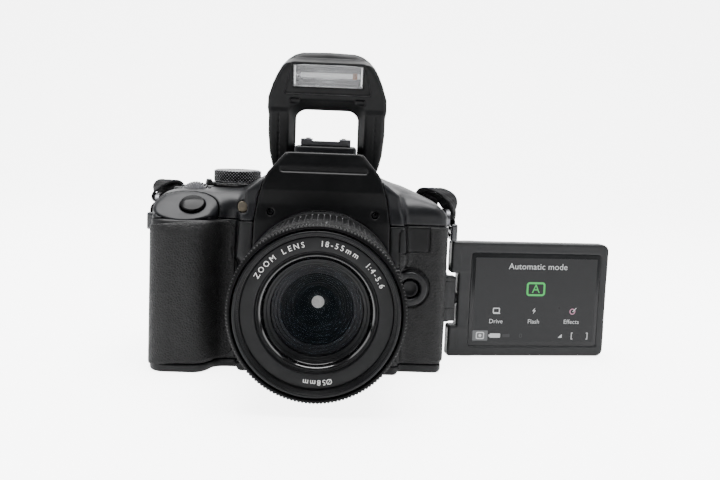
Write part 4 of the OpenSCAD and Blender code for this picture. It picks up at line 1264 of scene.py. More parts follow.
def housing_field(p):
    """Panel housing in its own frame: rounded slab, recessed glass seat, socket of the twist shaft."""
    x, y, z = p[:, 0], p[:, 1], p[:, 2]
    flat = rect2(x, z, PANEL_X0, PANEL_X0 + PANEL_W, -PANEL_H / 2, PANEL_H / 2, 3.4)
    f = sd_prism(flat, y, FRONT, -FRONT, 1.1)
    # the near edge reaches back past the hinge block, above and below it
    for side in (-1, 1):
        near = sd_box(p, (3.0, FRONT, side * 20.15 - 7.55), (PANEL_X0 + 9, -FRONT, side * 20.15 + 7.55), 1.1)
        f = smooth_min(f, near, 0.3)
    seat = sd_prism(rect2(x, z, PANEL_X0 + 6.1, PANEL_X0 + 71.1, -22.7, 22.7, 1.2), y, FRONT - 3, FRONT + 0.6)
    f = minus(f, seat, 0.25)
    f = minus(f, sd_tube(p, (PANEL_X0, 0, 0), (1, 0, 0), 2.55, -3, 8.2), 0.3)
    # parting line round the edge, finger scallop on the free side, line round the back
    f = minus(f, np.maximum(np.abs(y - 1.2) - 0.12, -f - 0.3), 0.1)
    scoop = sd_tube(p, (PANEL_X0 + PANEL_W + 4.0, 0, -12), (0, 0, 1), 4.9, 0, 24, 0.5)
    f = minus(f, scoop, 0.8)
    back_field = rect2(x, z, PANEL_X0 + 4, PANEL_X0 + PANEL_W - 4, -PANEL_H / 2 + 4, PANEL_H / 2 - 4, 4)
    return minus(f, np.maximum(np.abs(back_field) - 0.2, 3.55 - y), 0.15)


mesh = field_mesh("screen_housing", housing_field, (2.2, FRONT - 0.5, -PANEL_H / 2 - 0.5),
                  (PANEL_X0 + PANEL_W + 0.5, -FRONT + 0.5, PANEL_H / 2 + 0.5), 0.5)
add_object("screen_housing", on_panel(mesh), screen_frame, "screen_panel", replaces=["lcd_housing"])

GLASS_Y = FRONT + 0.12
glass_shader = Shader("screen_glass", (0.012, 0.0125, 0.013), 0.14, Specular_IOR_Level=0.25)
glass_shader.vary_roughness(glass_shader.noise(25, 4), 0.03)
glass_shader.vary_colour(glass_shader.noise(30, 3), 0.15)
glass_outline = round_rect(64.7, 45.1, 1.1, 6, (PANEL_X0 + 38.6, 0))
stand = Matrix.Rotation(math.radians(90), 4, "X")
mesh = prism_mesh("screen_cover_glass", glass_outline, -GLASS_Y - 0.42, -GLASS_Y, 0.12, 2, stand)
add_object("screen_cover_glass", on_panel(mesh), glass_shader.material, "screen_panel",
           replaces=["lcd_screen"])

# Lit picture: the display field and the marks on it, in a generic layout
VIEW_X0, VIEW_X1, VIEW_Z0, VIEW_Z1 = PANEL_X0 + 8.3, PANEL_X0 + 69.4, -20.6, 20.4
view_w, view_h = VIEW_X1 - VIEW_X0, VIEW_Z1 - VIEW_Z0


def lit(name, colour, strength):
    """A part of the picture that gives its own light."""
    s = Shader(name, (0.006, 0.006, 0.006), 0.3, Specular_IOR_Level=0.2, Emission_Strength=strength,
               Emission_Color=(*colour, 1))
    s.vary_roughness(s.noise(20), 0.03)
    return s.material


lit_field = lit("lit_field", (0.017, 0.0175, 0.019), 1.0)
lit_white = lit("lit_white", (0.80, 0.81, 0.82), 1.0)
lit_grey = lit("lit_grey", (0.16, 0.165, 0.17), 1.0)
lit_green = lit("lit_green", (0.06, 0.62, 0.13), 1.15)
lit_dim = lit("lit_dim", (0.045, 0.046, 0.048), 1.0)
lit_warm = lit("lit_warm", (0.62, 0.30, 0.42), 1.0)


def field_at(u, v):
    """A place on the display, with u and v from 0 to 1 across and down."""
    return VIEW_X0 + u * view_w, VIEW_Z1 - v * view_h


def flat_mark(name, outline, level, hole=None):
    """A thin mark on the display, at a small height over it, with an optional hole of as many points."""
    y = -GLASS_Y + 0.012 + level * 0.02
    if hole is None:
        return prism_mesh(name, outline, y, y + 0.015, 0, 1, stand)
    n = len(outline)
    verts = [(u, v, y) for u, v in outline] + [(u, v, y) for u, v in hole]
    mesh = mesh_from(name, verts, [(i, (i + 1) % n, n + (i + 1) % n, n + i) for i in range(n)])
    mesh.transform(stand)
    return mesh


def frame_mark(name, u, v, width, height, line, r):
    at = field_at(u, v)
    return flat_mark(name, round_rect(width, height, r, 6, at), 1,
                     round_rect(width - 2 * line, height - 2 * line, max(r - line, 0.05), 6, at))


def block_mark(name, u, v, width, height, r=0.1, level=1):
    return flat_mark(name, round_rect(width, height, r, 4, field_at(u, v)), level)


def words_mark(name, words, u, v, size):
    x, z = field_at(u, v)
    turn = Matrix.Translation(Vector((x, GLASS_Y - 0.05, z)) * MM) @ stand
    return text_mesh(name, words, size, turn, 0.006, 1.02)


def show(name, meshes, material):
    """Marks of one tone, put on the display as one piece."""
    add_object(name, on_panel(joined(name, meshes)), material, "screen_panel", smooth=False)


show("display_field", [block_mark("field", 0.5, 0.5, view_w, view_h, 0.2, 0)], lit_field)
show("display_title", [words_mark("title", "Automatic mode", 0.51, 0.10, 3.0)], lit_white)
auto_frame = [frame_mark("auto", 0.50, 0.365, 9.4, 6.8, 0.95, 1.5),
              words_mark("auto_letter", "A", 0.50, 0.365, 4.2)]
show("display_auto", auto_frame, lit_green)
DRIVE_U = 0.185
icons = [frame_mark("drive", DRIVE_U, 0.625, 3.5, 2.7, 0.5, 0.5),
         block_mark("drive", DRIVE_U + 0.004, 0.66, 3.5, 0.4)]
bolt = [(0.5, 1.6), (-0.9, -0.1), (-0.05, -0.1), (-0.5, -1.6), (0.9, 0.25), (0.1, 0.25)]
bx, bz = field_at(0.495, 0.625)
icons.append(flat_mark("bolt", [(bx + u, bz + v) for u, v in bolt], 1))
show("display_icons", icons, lit_white)
ex, ez = field_at(0.815, 0.63)
pie = flat_mark("effect", circle(1.5, 24, (ex, ez)), 1, circle(1.0, 24, (ex, ez)))
show("display_effect", [pie], lit_warm)
brush = [(ex, ez), (ex + 0.3, ez - 0.3), (ex + 2.0, ez + 1.7), (ex + 1.7, ez + 1.9)]
show("display_brush", [flat_mark("brush", brush, 2)], lit_white)
labels = [words_mark("label", word, u, 0.755, 2.1) for word,
          u in (("Drive", DRIVE_U), ("Flash", 0.495), ("Effects", 0.81))]
show("display_labels", labels, lit_white)

# Bottom row: chosen cell with its meter mark, battery, dim marks, picture quality in brackets
STATUS_V = 0.925
show("display_choice", [block_mark("choice", 0.062, STATUS_V, 7.6, 5.0, 0.4)], lit_grey)
dot = field_at(0.062, STATUS_V)
marks = [flat_mark("choice_ring", round_rect(4.1, 3.5, 0.7, 5, dot), 2, round_rect(3.1, 2.5, 0.4, 5, dot)),
         flat_mark("choice_dot", circle(0.75, 16, dot), 2),
         block_mark("battery", 0.184, STATUS_V, 5.2, 2.1, 0.3),
         block_mark("battery_tip", 0.137, STATUS_V, 0.6, 1.0, 0.1)]
qx, qz = field_at(0.735, STATUS_V)
marks.append(flat_mark("quality", [(qx - 1.8, qz - 0.9), (qx + 0.2, qz - 0.9), (qx + 0.2, qz + 0.9)], 2))
for u, s in ((0.815, 1), (0.955, -1)):
    x, z = field_at(u, STATUS_V)
    hook = [(0, -1.7), (0.9, -1.7), (0.9, -1.35), (0.4, -1.35), (0.4, 1.35), (0.9, 1.35), (0.9, 1.7),
            (0, 1.7)]
    marks.append(flat_mark("bracket", [(x + s * du, z + dv) for du, dv in hook], 2))
show("display_status", marks, lit_white)
dim = [block_mark("dim", 0.275, STATUS_V, 3.6, 1.5, 0.3), frame_mark("dim", 0.395, STATUS_V, 1.4, 2.0, 0.3,
                                                                     0.6)]
show("display_dim", dim, lit_dim)

# Hinge block: a rounded knuckle round the pin with a neck to the panel, and the twist shaft
hinge_low, hinge_high = node_box("lcd_hinge")


def hinge_field(p):
    q = local(p, panel_turn)
    knuckle = sd_tube(p, (HINGE[0], HINGE[1], 0), (0, 0, 1), 3.4, HINGE[2] - 11.9, HINGE[2] + 11.9, 0.7)
    neck = sd_box(q, (-2.1, -2.9, -10.9), (PANEL_X0 - 0.75, 2.9, 10.9), 0.9)
    arm = sd_box(q, (-2.1, -2.9, -10.9), (2.5, 5.9, 10.9), 0.6)
    f = smooth_min(knuckle, smooth_min(neck, arm, 1.5), 1.2)
    f = np.minimum(f, sd_tube(q, (0, 0, 0), (1, 0, 0), 2.4, 0, PANEL_X0 + 7, 0.4))
    for dz in (-6.5, 6.5):
        line = np.maximum(np.abs(np.abs(q[:, 2] - dz) - 2.2) - 0.12, np.abs(q[:, 1] + 2.9) - 0.3)
        f = minus(f, line, 0.1)
    return minus(f, sd_tube(p, (HINGE[0], HINGE[1], 0), (0, 0, 1), 0.95, HINGE[2] - 20, HINGE[2] + 20), 0.1)


add_field("screen_hinge_block", hinge_field, hinge_low - 0.5, hinge_high + 0.5, 0.45,
          screen_frame, "screen_hinge", ["lcd_hinge"])

# ---------- controls ----------


def turned(name, profile, place, steps=96, wave=None):
    """(radius, height) points turned about the Z axis of a matrix."""
    angles = np.arange(steps) * 2 * np.pi / steps
    verts, quads = [], []
    for i, (r, h) in enumerate(profile):
        radius = np.full(steps, float(r)) + (wave(i, angles) if wave else 0)
        verts.append(np.stack([radius * np.cos(angles), radius * np.sin(angles), np.full(steps, float(h))],
                              1))
    n = len(profile)
    for i in range(n - 1):
        for j in range(steps):
            k = (j + 1) % steps
            quads.append((i * steps + j, i * steps + k, (i + 1) * steps + k, (i + 1) * steps + j))
    mesh = quad_mesh(name, np.concatenate(verts), quads)
    mesh.transform(place)
    return mesh


def cap_profile(r, height, dish=0.0, edge=0.45, foot=-3.0):
    """A button's outline, foot to middle of the top, with a rounded rim and a dished or domed face."""
    points = [(r, foot), (r, height - edge)]
    for k in range(1, 5):
        a = math.radians(90 * k / 4)
        points.append((r - edge + edge * math.cos(a), height - edge + edge * math.sin(a)))
    for t in (0.8, 0.6, 0.4, 0.2, 0.001):
        points.append((max(r - edge, 0.1) * t, height - dish * (1 - t * t)))
    return points


def button(name, node, radius, dish=0.2, material=button_plastic, tip=None):
    """A round cap for a CAD button, its face level with the CAD's unless a place is given."""
    at, axis = button_place(node)
    if tip is None:
        low, high = node_box(node)
        tip = at + axis * (np.abs(axis) @ (high - low)) / 2
    mesh = turned(name, cap_profile(radius, 0, dish), facing(axis, tip), 64)
    add_object(name, mesh, material, node, replaces=[node])


shutter_tip = SHUTTER + SHUTTER_AXIS * 1.25
button("shutter_cap", "shutter_button", 5.15, -0.5, button_gloss, shutter_tip)
for node in ("iso_button", "display_button"):
    button(node + "_cap", node, 2.35)
for node in ("menu_button", "info_button", "playback_button", "erase_button", "lock_button", "point_button"):
    button(node + "_cap", node, 2.55)
button("live_view_cap", "live_view_button", 2.95)
button("set_cap", "set_button", 3.75, -0.15)


def press_icon(name, node, outline):
    """A small printed mark on a rear button."""
    at, face_y = box_middle(node), node_box(node)[1][1]
    verts = [(at[0] - u, face_y - 0.02, at[2] + v) for u, v in outline]
    mesh = mesh_from(name, verts, [tuple(range(len(verts)))])
    add_object(name, mesh, grey_print, node, smooth=False)


press_icon("playback_mark", "playback_button", [(-0.9, -1.0), (1.1, 0), (-0.9, 1.0)])
press_icon("erase_mark", "erase_button", [(-0.8, -1.0), (0.8, -1.0), (1.0, 0.9), (-1.0, 0.9)])

# Lens release: a round button in its crescent collar
profile = cap_profile(RELEASE_R, 0, 0.5, 0.7, -8)
mesh = turned("release_cap", profile, facing((0, -1, 0), (RELEASE[0], release_low[1], RELEASE[1])), 96)
add_object("release_cap", mesh, smooth_black, "lens_release_button", replaces=["lens_release_button"])

# Cross keys: a ring parted into four by shallow cuts, and the quick dial round it
low, high = node_box("cross_keys")


def keys_field(p):
    y = p[:, 1]
    r = np.hypot(p[:, 0] - RING[0], p[:, 2] - RING[2])
    f = sd_prism(np.abs(r - 5.7) - 1.55, y, low[1], high[1], 0.45)
    a = np.arctan2(p[:, 2] - RING[2], p[:, 0] - RING[0])
    between = np.abs((a % (np.pi / 2)) - np.pi / 4) * r - 1.1
    return minus(f, np.maximum(between, high[1] - 0.3 - y), 0.3)


add_field("key_ring", keys_field, (RING[0] - 8, low[1] - 0.5, RING[2] - 8),
          (RING[0] + 8, high[1] + 0.5, RING[2] + 8), 0.3, button_plastic, "cross_keys", ["cross_keys"])
low, high = node_box("quick_dial")
wheel = [(8.0, 0), (10.9, 0), (11.0, 0.3), (11.0, 1.8), (10.7, 2.2), (9.9, 2.4), (8.6, 2.3), (8.1, 1.9),
         (8.0, 0)]


def quick_wave(i, angles):
    return -0.28 * (np.cos(angles * 44) > 0.1) if 2 <= i <= 5 else 0


mesh = turned("quick_wheel", wheel, facing((0, 1, 0), (RING[0], low[1], RING[2])), 352, quick_wave)
add_object("quick_wheel", mesh, dial_plastic, "quick_dial", replaces=["quick_dial"])

# Main dial: deep straight ridges
low, high = node_box("main_dial")
width = high[1] - low[1]
wheel = [(0.01, 0), (6.6, 0), (7.2, 0.4)]
wheel += [(7.5, h) for h in np.linspace(0.7, width - 0.7, 8)]
wheel += [(7.2, width - 0.4), (6.6, width), (0.01, width)]


def dial_wave(i, angles):
    return -0.55 * np.abs(np.sin(angles * 18)) ** 3 if 2 <= i <= 11 else 0


mesh = turned("main_wheel", wheel, facing((0, 1, 0), (DIAL[0], low[1], DIAL[2])), 288, dial_wave)
add_object("main_wheel", mesh, knurl_plastic, "main_dial", replaces=["main_dial"])

# Mode dial: diamond knurl on the side, chamfered top with plain numbers
low, high = node_box("mode_dial")
top = high[2]
mode_r = (high[0] - low[0]) / 2
foot = MODE[2] + 2.2
rows = 27
wheel = [(2.6, low[2]), (2.6, foot), (mode_r - 0.7, foot), (mode_r - 0.3, foot + 0.3)]
first = len(wheel)
for k in range(rows):
    wheel.append((mode_r - 0.05, foot + 0.5 + (top - foot - 1.3) * k / (rows - 1)))
wheel += [(mode_r - 0.5, top - 0.45), (mode_r - 1.3, top - 0.05), (mode_r - 1.7, top), (mode_r - 5.4, top),
          (mode_r - 5.7, top - 0.25), (mode_r - 6.2, top - 0.2), (2, top - 0.15), (0.01, top - 0.15)]


KNURLS = 44


def knurl(i, angles):
    if not first <= i < first + rows:
        return 0
    # two sets of grooves that wind opposite ways, three pitches over the height
    lead = (i - first) / (rows - 1) * 3.0
    turns = angles * KNURLS / (2 * np.pi)
    a = np.abs(((turns + lead) % 1) - 0.5)
    b = np.abs(((turns - lead) % 1) - 0.5)
    return -0.9 * (1 - np.clip(np.minimum(a, b) * 2.2, 0, 1))


mesh = turned("mode_wheel", wheel, facing((0, 0, 1), (MODE[0], MODE[1], 0)), 14 * KNURLS, knurl)
add_object("mode_wheel", mesh, knurl_plastic, "mode_dial", replaces=["mode_dial"])
marks = []
for k, letter in enumerate("12345678"):
    a = math.radians(45 * k)
    r = mode_r - 3.4
    place = Matrix.Translation(Vector((MODE[0] + r * math.sin(a), MODE[1] + r * math.cos(a),
                                       top + 0.01)) * MM)
    marks.append(text_mesh("mode_mark", letter, 1.7, place @ Matrix.Rotation(-a, 4, "Z"), 0.02))
add_object("mode_marks", joined("mode_marks", marks), white_print, "mode_dial", smooth=False)

# Power lever: a flat ring with a finger tab
lever_low, lever_high = node_box("power_lever")
TAB = math.radians(197)


def lever_field(p):
    q = p - MODE
    r = np.hypot(q[:, 0], q[:, 1])
    f = sd_prism(np.maximum(r - 11.4, 2.9 - r), q[:, 2], 0.25, 1.95, 0.4)
    u = q[:, 0] * math.cos(TAB) + q[:, 1] * math.sin(TAB)
    v = -q[:, 0] * math.sin(TAB) + q[:, 1] * math.cos(TAB)
    tab_frame = np.stack([u, v, q[:, 2]], 1)
    tab = sd_box(tab_frame, (8, -2.1, 0.25), (14.5, 2.1, 2.0), 0.7)
    knob = sd_box(tab_frame, (11.9, -1.9, 1.0), (14.4, 1.9, 3.3), 0.7)
    f = smooth_min(f, smooth_min(tab, knob, 0.8), 0.8)
    stem = sd_prism(np.maximum(r - 4, 2.9 - r), q[:, 2], -6, 1, 0.2)
    return np.minimum(f, stem)


add_field("lever_ring", lever_field, lever_low - (1, 1, 0.5), lever_high + (1, 1, 2), 0.35,
          dial_plastic, "power_lever", ["power_lever"])

# Eyesight knob
centre = box_middle("diopter_knob")
knob_back = node_box("diopter_knob")[0][1]
wheel = [(1.0, -1.6), (1.0, 0.2), (2.9, 0.2), (3.15, 0.45), (3.15, 1.5), (2.8, 1.95), (0.01, 1.9)]


def knob_wave(i, angles):
    return -0.25 * (np.cos(angles * 20) > 0) if 3 <= i <= 4 else 0


mesh = turned("eyesight_wheel", wheel, facing((0, 1, 0), (centre[0], knob_back + 1.6, centre[2])), 160,
              knob_wave)
add_object("eyesight_wheel", mesh, dial_plastic, "diopter_knob", replaces=["diopter_knob"])

# ---------- fittings ----------

# Front screws with crossed recesses
SCREW_HEAD = [(1.45, 0), (1.45, 0.4), (1.2, 0.6), (0.62, 0.64), (0.5, 0.3), (0.01, 0.2)]


def cross_recess(i, angles):
    return 0.28 * np.abs(np.cos(2 * angles)) ** 6 if i in (3, 4) else 0


heads = [turned("screw", SCREW_HEAD, facing((0, -1, 0), (x, -40.8, z)), 40, cross_recess) for x, z in SCREWS]
add_object("front_screws", joined("front_screws", heads), screw_black, "camera_body",
           replaces=["cover_screws"])

# Lamp: a rounded lens in its window
mesh = prism_mesh("red_eye_lens", round_rect(4.4, 4.6, 1.8, 8), -3, 0.0, 0.5, 4,
                  facing((0, -1, 0), (LAMP[0], node_box("red_eye_lamp")[0][1] + 0.7, LAMP[2])))
add_object("red_eye_lens", mesh, lamp_shader.material, "camera_body", replaces=["red_eye_lamp"])

# Accessory shoe: folded rails, contact plate with round contacts, and the spring leaves
low, high = node_box("hot_shoe")


def shoe_field(p):
    f = sd_box(p, low, high, 0.35)
    f = minus(f, sd_box(p, (-9.35, low[1] + 1.6, 99.1), (9.35, high[1] + 4, 101.15), 0.1), 0.15)
    f = minus(f, sd_box(p, (-6.3, low[1] + 1.6, 98.85), (6.3, high[1] + 4, 103), 0.3), 0.2)
    return minus(f, sd_box(p, (-6.3, low[1] - 3, 101.0), (6.3, high[1] + 4, 103), 0.3), 0.2)


add_field("shoe_rails", shoe_field, low - 0.5, high + 0.5, 0.35, shoe_metal, "camera_body", ["hot_shoe"])
leaves = [box_mesh("leaf", (x - 1.0, low[1] + 4, high[2] - 0.1), (x + 1.0, low[1] + 13, high[2] + 0.5), 0.25)
          for x in (-8.3, 8.3)]
add_object("shoe_springs", joined("shoe_springs", leaves), lug_metal, "camera_body")
contacts = [turned("contact", [(r, 0), (r, 0.25), (r * 0.8, 0.4), (0.01, 0.42)],
                   facing((0, 0, 1), (x, y, 98.8)), 32) for x, y,
            r in ((0, 4.5, 1.3), (4, 0.5, 0.8), (-4, 0.5, 0.8), (4, 8.5, 0.8), (-4, 8.5, 0.8))]
add_object("shoe_contacts", joined("shoe_contacts", contacts), mount_steel, "camera_body")

# Tripod socket with its thread
THREAD_PITCH = 1.27
thread = [(5.8, 0.3), (5.6, 0.02), (3.5, 0.02), (3.2, 0.3)]
for k in range(4):
    h = 0.5 + k * THREAD_PITCH
    thread += [(3.2, h), (2.75, h + 0.32), (2.75, h + 0.5), (3.2, h + 0.85)]
thread += [(3.2, 5.6), (5.8, 5.6)]
mesh = turned("tripod_thread", thread, Matrix.Identity(4), 64)
add_object("tripod_thread", mesh, socket_brass, "camera_body", replaces=["tripod_socket"])

# Battery door with its latch
low, high = node_box("battery_door")
latch_x = low[0] + 4.2


def door_field(p):
    f = sd_box(p, (low[0], low[1], 0.2), (high[0] - 0.9, high[1], 2.2), 0.5)
    f = np.minimum(f, sd_tube(p, (-49.8, low[1], 1.2), (0, 1, 0), 0.9, 0, high[1] - low[1], 0.2))
    f = minus(f, np.abs(sd_box(p, (latch_x - 2.6, -26, -1), (latch_x + 2.6, -16, 0.6), 1.2)) - 0.15, 0.1)
    stripes = np.abs((p[:, 1] + 21) % 1.4 - 0.7) - 0.22
    pad = sd_box(p, (latch_x - 1.6, -24.5, -1), (latch_x + 1.6, -17.5, 0.45), 0.1)
    return minus(f, np.maximum(stripes, pad), 0.1)


add_field("door_panel", door_field, low - 0.5, high + 0.5, 0.4,
          body_plastic, "battery_door", ["battery_door"])

# Rubber socket covers with finger lips


def cover_field(p, low, high):
    """A flap with its hinge roll, a lip to lift it by and a round mark."""
    y, z = p[:, 1], p[:, 2]
    middle = (low[2] + high[2]) / 2
    f = sd_box(p, (low[0], low[1] + 0.8, low[2]), (high[0], high[1], high[2]), 0.45)
    roll = sd_tube(p, (BODY_RIGHT, low[1] + 0.8, low[2]), (0, 0, 1), 0.8, 0, high[2] - low[2], 0.15)
    lip = sd_box(p, (high[0] - 0.4, high[1] - 1.6, middle - 3), (high[0] + 0.35, high[1] - 0.4, middle + 3),
                 0.3)
    f = smooth_min(np.minimum(f, roll), lip, 0.4)
    mark = np.abs(np.hypot(y - (low[1] + 6.5), z - middle) - 1.9) - 0.16
    return minus(f, np.maximum(mark, high[0] - 0.12 - p[:, 0]), 0.1)


for node in ("audio_cover", "video_cover"):
    low, high = node_box(node)
    add_field(node + "_flap", lambda p: cover_field(p, low, high), low - 0.5, high + 1, 0.35,
              soft_rubber, node, [node])


def eyecup_field(p):
    """The rubber cushion round the finder's window: neck, flared flange and tunnel."""
    x, y, z = p[:, 0], p[:, 1], p[:, 2]
    neck = sd_box(p, (-12.4, 17.9, 76.5), (12.4, 22, 94), 2.5)
    t = np.clip((y - 21) / 4.6, 0, 1)
    flange = rect2(x, z, -16.0 - t, 16.0 + t, 75 - t, 95.5 + t, 5.5)
    flange = sd_prism(flange, y, 21, 25.6, 1.3)
    f = smooth_min(neck, flange, 1.2)
    grow = np.clip((y - 20) / 5.6, 0, 1)
    tunnel = rect2(x, z, -9.5 - 4 * grow, 9.5 + 4 * grow, 79.5 - 2.5 * grow, 90.5 + 3 * grow, 2.5)
    return smooth_max(f, -tunnel, 0.8)


add_field("eye_cushion", eyecup_field, (-18, 17, 73), (18, 27, 98), 0.45,
          soft_rubber, "camera_body", ["eyecup"])
low, high = node_box("eyepiece_lens")
mesh = box_mesh("finder_window", low, high, 0.6, 4)
add_object("finder_window", mesh, eyepiece_glass, "camera_body", replaces=["eyepiece_lens"])

# ---------- strap tails ----------


def spline(points, steps=6):
    """A smooth curve through (x, y, z, turn) points."""
    pts = np.array([points[0]] + list(points) + [points[-1]], float)
    out = []
    for i in range(1, len(pts) - 2):
        a, b, c, d = pts[i - 1:i + 3]
        for k in range(steps):
            t = k / steps
            bend, twist = 2 * a - 5 * b + 4 * c - d, 3 * b - a - 3 * c + d
            out.append(0.5 * (2 * b + (c - a) * t + bend * t ** 2 + twist * t ** 3))
    out.append(pts[-2])
    return np.array(out)


def ribbon(name, route, width=9.4, thick=1.15):
    """A flat web along a route whose fourth value is the direction of its width in plan, in degrees."""
    path = spline(route)
    at, turn = path[:, :3], np.radians(path[:, 3])
    across = np.stack([np.cos(turn), np.sin(turn), 0 * turn], 1)
    run = np.gradient(at, axis=0)
    out = np.cross(run, across)
    out /= np.linalg.norm(out, axis=1)[:, None]
    # half of the woven section, from one edge over its ribs to the other; the other face mirrors it
    face = [(0.5, 0.12), (0.47, 0.42), (0.40, 0.5), (0.2, 0.42), (0, 0.5), (-0.2, 0.42), (-0.40, 0.5),
            (-0.47, 0.42), (-0.5, 0.12)]
    section = face + [(u, -v) for u, v in face[::-1]]
    rings = np.array([[p + a * u * width + o * v * thick for u, v in section]
                      for p, a, o in zip(at, across, out)])
    n, m = len(at), len(section)
    quads = [(i * m + j, i * m + (j + 1) % m, (i + 1) * m + (j + 1) % m, (i + 1) * m + j)
             for i in range(n - 1) for j in range(m)]
    ends = [tuple(range(m))[::-1], tuple(range((n - 1) * m, n * m))]
    length = float(np.linalg.norm(np.diff(at, axis=0), axis=1).sum())
    return mesh_from(name, rings.reshape(-1, 3), quads + ends), length


LEFT_ROUTE = [(-77.4, 0, 69.9, 90), (-79.3, 0.1, 70.8, 90), (-80, 0.6, 73.2, 93), (-79.2, 2, 76, 118),
              (-77.4, 4.6, 78.2, 138), (-75.4, 8, 79.2, 152), (-73.6, 11.8, 78.8, 164),
              (-72.4, 15, 76.6, 170), (-71.8, 16.9, 72, 180), (-71.6, 17.2, 66, 180),
              (-71.6, 17.2, 59, 180), (-71.6, 17.2, 50.5, 180)]
LEFT_TAIL = [(-78.6, 0, 69.2, 90), (-80.1, 0, 67.2, 90), (-80.3, 0, 63, 90), (-80.3, 0, 56, 90)]
RIGHT_ROUTE = [(58.6, 0, 67.3, 90), (60.8, 0, 68.2, 90), (61.8, 0.4, 71, 74), (61.2, 1.6, 74.6, 56),
               (58.8, 3.6, 77.6, 38), (55.4, 6.4, 79.4, 26), (52.2, 9.8, 80, 14), (50, 13.4, 79, 8),
               (49, 16.4, 75.8, 0), (48.8, 17.4, 70, 0)]
RIGHT_TAIL = [(60.4, 0, 67.2, 90), (61.6, 0, 66.2, 90), (61.8, 0, 64.6, 90), (61.8, 0, 56.8, 90)]
# Doubled web under each loop, held by the slide
LEFT_FOLD = [(-79.0, 2.6, 65, 100), (-78.8, 3.2, 69, 112), (-77.2, 5.4, 73.4, 128), (-75.0, 9, 76.6, 145),
             (-73.4, 12.6, 76.2, 160), (-73.0, 15.2, 72, 172), (-72.8, 15.6, 64, 178)]
RIGHT_FOLD = [(61.0, 2.6, 64, 66), (60.8, 3.4, 68.4, 52), (59.4, 5.2, 72.6, 38), (56.6, 8.2, 76.4, 28),
              (53.2, 11.6, 77.2, 16), (51.4, 14.6, 74, 6), (51.0, 15.6, 69.6, 0)]
for side, route, tail, fold in (("left", LEFT_ROUTE, LEFT_TAIL, LEFT_FOLD),
                                ("right", RIGHT_ROUTE, RIGHT_TAIL, RIGHT_FOLD)):
    for part, points in (("web", route), ("web_end", tail), ("web_fold", fold)):
        mesh, length = ribbon("strap_" + part, points)
        web = add_object(f"strap_{part}_{side}_cloth", mesh, strap_web, "camera_body",
                         replaces=["strap_web_" + side])


def slide_field(p, at):
    """A slide with two slots for the web, from the middle of its foot."""
    x, y, z = at
    f = sd_box(p, (x - 1.6, y - 6.6, z), (x + 1.6, y + 6.6, z + 8), 0.9)
    for slot_z in (z + 1.5, z + 4.7):
        f = minus(f, sd_box(p, (x - 3, y - 5.0, slot_z), (x + 3, y + 5.0, slot_z + 1.8), 0.5), 0.3)
    return f


def buckle_field(p, low, high):
    """A side-release buckle: body with two arms, a waist and the bar the web goes round."""
    x0, x1 = low[0], high[0]
    middle, z0, z1 = (x0 + x1) / 2, low[2], high[2]
    outline = [(x0 + 1.0, z0), (x1 - 1.0, z0), (x1, z0 + 3), (x1, z1 - 3.4), (x1 - 1.6, z1), (x0 + 1.6, z1),
               (x0, z1 - 3.4), (x0, z0 + 3)]
    f = sd_prism(soft_outline(p[:, 0], p[:, 2], outline, 1.2), p[:, 1], low[1], high[1], 1.2)
    f = minus(f, sd_box(p, (middle - 3.6, low[1] - 2, z0 + 2.2), (middle + 3.6, high[1] + 2, z0 + 4.2),
                        0.6), 0.4)
    for side in (-1, 1):
        gap = middle + side * 4.2
        f = minus(f, sd_box(p, (gap - 0.5, low[1] - 2, z0 + 6), (gap + 0.5, high[1] + 2, z1 - 2.5), 0.4), 0.3)
    return minus(f, np.maximum(np.abs(p[:, 2] - z0 - 5.2) - 0.15, -f - 0.3), 0.1)


FITTINGS = [("left_slide", lambda p: slide_field(p, (-80.3, 0, 57)), (-82.2, -7, 56.5), (-78.4, 7, 65.5)),
            ("right_slide", lambda p: slide_field(p, (61.8, 0, 56.5)), (59.9, -7, 56), (63.7, 7, 65)),
            ("left_buckle", lambda p: buckle_field(p, (-78, 15.2, 37), (-65.2, 20, 51)),
             (-78.5, 14.7, 36.5), (-64.7, 20.5, 51.5)),
            ("right_buckle", lambda p: buckle_field(p, (42.4, 15.2, 57.6), (54.8, 20, 70.3)),
             (41.9, 14.7, 57.1), (55.3, 20.5, 70.8))]
for name, field, low, high in FITTINGS:
    add_field("strap_" + name, field, low, high, 0.4, strap_plastic, "camera_body", ["strap_fittings"])

# ---------- parts kept as they come from the frame ----------

prism_white = plastic("prism_white", (0.25, 0.25, 0.26), 0.4, 0.5, 0.02)
battery_grey = plastic("battery_grey", (0.03, 0.031, 0.033), 0.45, 0.5, 0.03)
KEPT = {"mirror_box": inner_black, "main_board": circuit_board, "image_sensor": sensor_glass,
        "pentamirror": prism_white, "shutter_unit": inner_black, "battery_pack": battery_grey,
        "reflex_mirror": mirror_glass, "strap_lugs": lug_metal}
for name, material in KEPT.items():
    for material_slot in nodes[name].material_slots:
        material_slot.material = material

# ---------- floor and light ----------

# Light of the floor's paper as it falls on the object, and as the camera sees it
FLOOR_GLOW, FLOOR_SEEN = 0.5, 5.2


def stage_shader(name, colour):
    s = Shader(name, colour, 0.7, Emission_Color=(1, 1, 1, 1))
    seen = s.node("ShaderNodeLightPath").outputs["Is Camera Ray"]
    s.link(s.spread(seen, FLOOR_GLOW, FLOOR_SEEN, 0, 1), s.bsdf.inputs["Emission Strength"])
    s.vary_colour(s.noise(120, 2), 0.006)
    return s.material


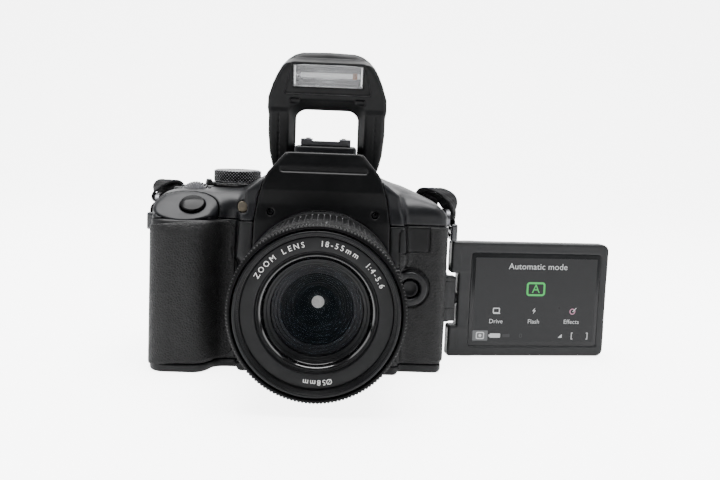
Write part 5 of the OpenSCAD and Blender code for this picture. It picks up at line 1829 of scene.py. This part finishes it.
# Paper sweep: flat from well behind the camera, then a quarter turn up behind the object, in metres
SWEEP_START, SWEEP_R = 0.9, 0.8
sweep = []
for k in range(13):
    a = math.radians(90 * k / 12)
    sweep.append((SWEEP_START + SWEEP_R * math.sin(a), SWEEP_R - SWEEP_R * math.cos(a)))
profile = [(-5.0, 0.0)] + sweep + [(1.7, 2.6)]
verts = [(x, y, z) for y, z in profile for x in (-3.2, 3.2)]
faces = [(2 * i, 2 * i + 1, 2 * i + 3, 2 * i + 2) for i in range(len(profile) - 1)]
floor_mesh = bpy.data.meshes.new("floor")
floor_mesh.from_pydata(verts, [], faces)
floor_mesh.polygons.foreach_set("use_smooth", [True] * len(faces))
floor = bpy.data.objects.new("floor", floor_mesh)
bpy.context.scene.collection.objects.link(floor)
floor_mesh.materials.append(stage_shader("floor_paper", (0.93, 0.93, 0.935)))


def area_light(name, at, to, size, power, size_y=None):
    data = bpy.data.lights.new(name, "AREA")
    data.energy = power
    data.shape = "RECTANGLE"
    data.size = size
    data.size_y = size_y or size
    lamp = bpy.data.objects.new(name, data)
    bpy.context.scene.collection.objects.link(lamp)
    lamp.location = at
    lamp.rotation_euler = (Vector(to) - Vector(at)).to_track_quat("-Z", "Y").to_euler()
    return lamp


area_light("top_soft", (0.0, -0.05, 1.1), (0, 0, 0.05), 0.9, 28, 0.8)
area_light("left_soft", (-1.1, -0.5, 0.55), (0, 0, 0.05), 0.8, 5.5)
area_light("right_soft", (1.1, -0.5, 0.6), (0, 0, 0.05), 0.8, 5.5)
front_soft = area_light("front_soft", (0.0, -1.4, 0.75), (0, 0, 0.06), 0.7, 5)
front_soft.visible_glossy = False
area_light("rear_soft", (0.0, 1.0, 1.0), (0, 0, 0.1), 1.2, 8)

world = bpy.data.worlds.new("studio")
bpy.context.scene.world = world
world.use_nodes = True
sky = world.node_tree
background = sky.nodes["Background"]
background.inputs["Color"].default_value = (0.97, 0.98, 1.0, 1)
# Brighter behind the object than on the viewer's side of the room
split = sky.nodes.new("ShaderNodeSeparateXYZ")
sky.links.new(sky.nodes.new("ShaderNodeTexCoord").outputs["Generated"], split.inputs["Vector"])
ramp = sky.nodes.new("ShaderNodeMapRange")
for socket, value in (("From Min", -0.35), ("From Max", 0.5), ("To Min", 0.14), ("To Max", 1.3)):
    ramp.inputs[socket].default_value = value
sky.links.new(split.outputs["Y"], ramp.inputs["Value"])
sky.links.new(ramp.outputs["Result"], background.inputs["Strength"])
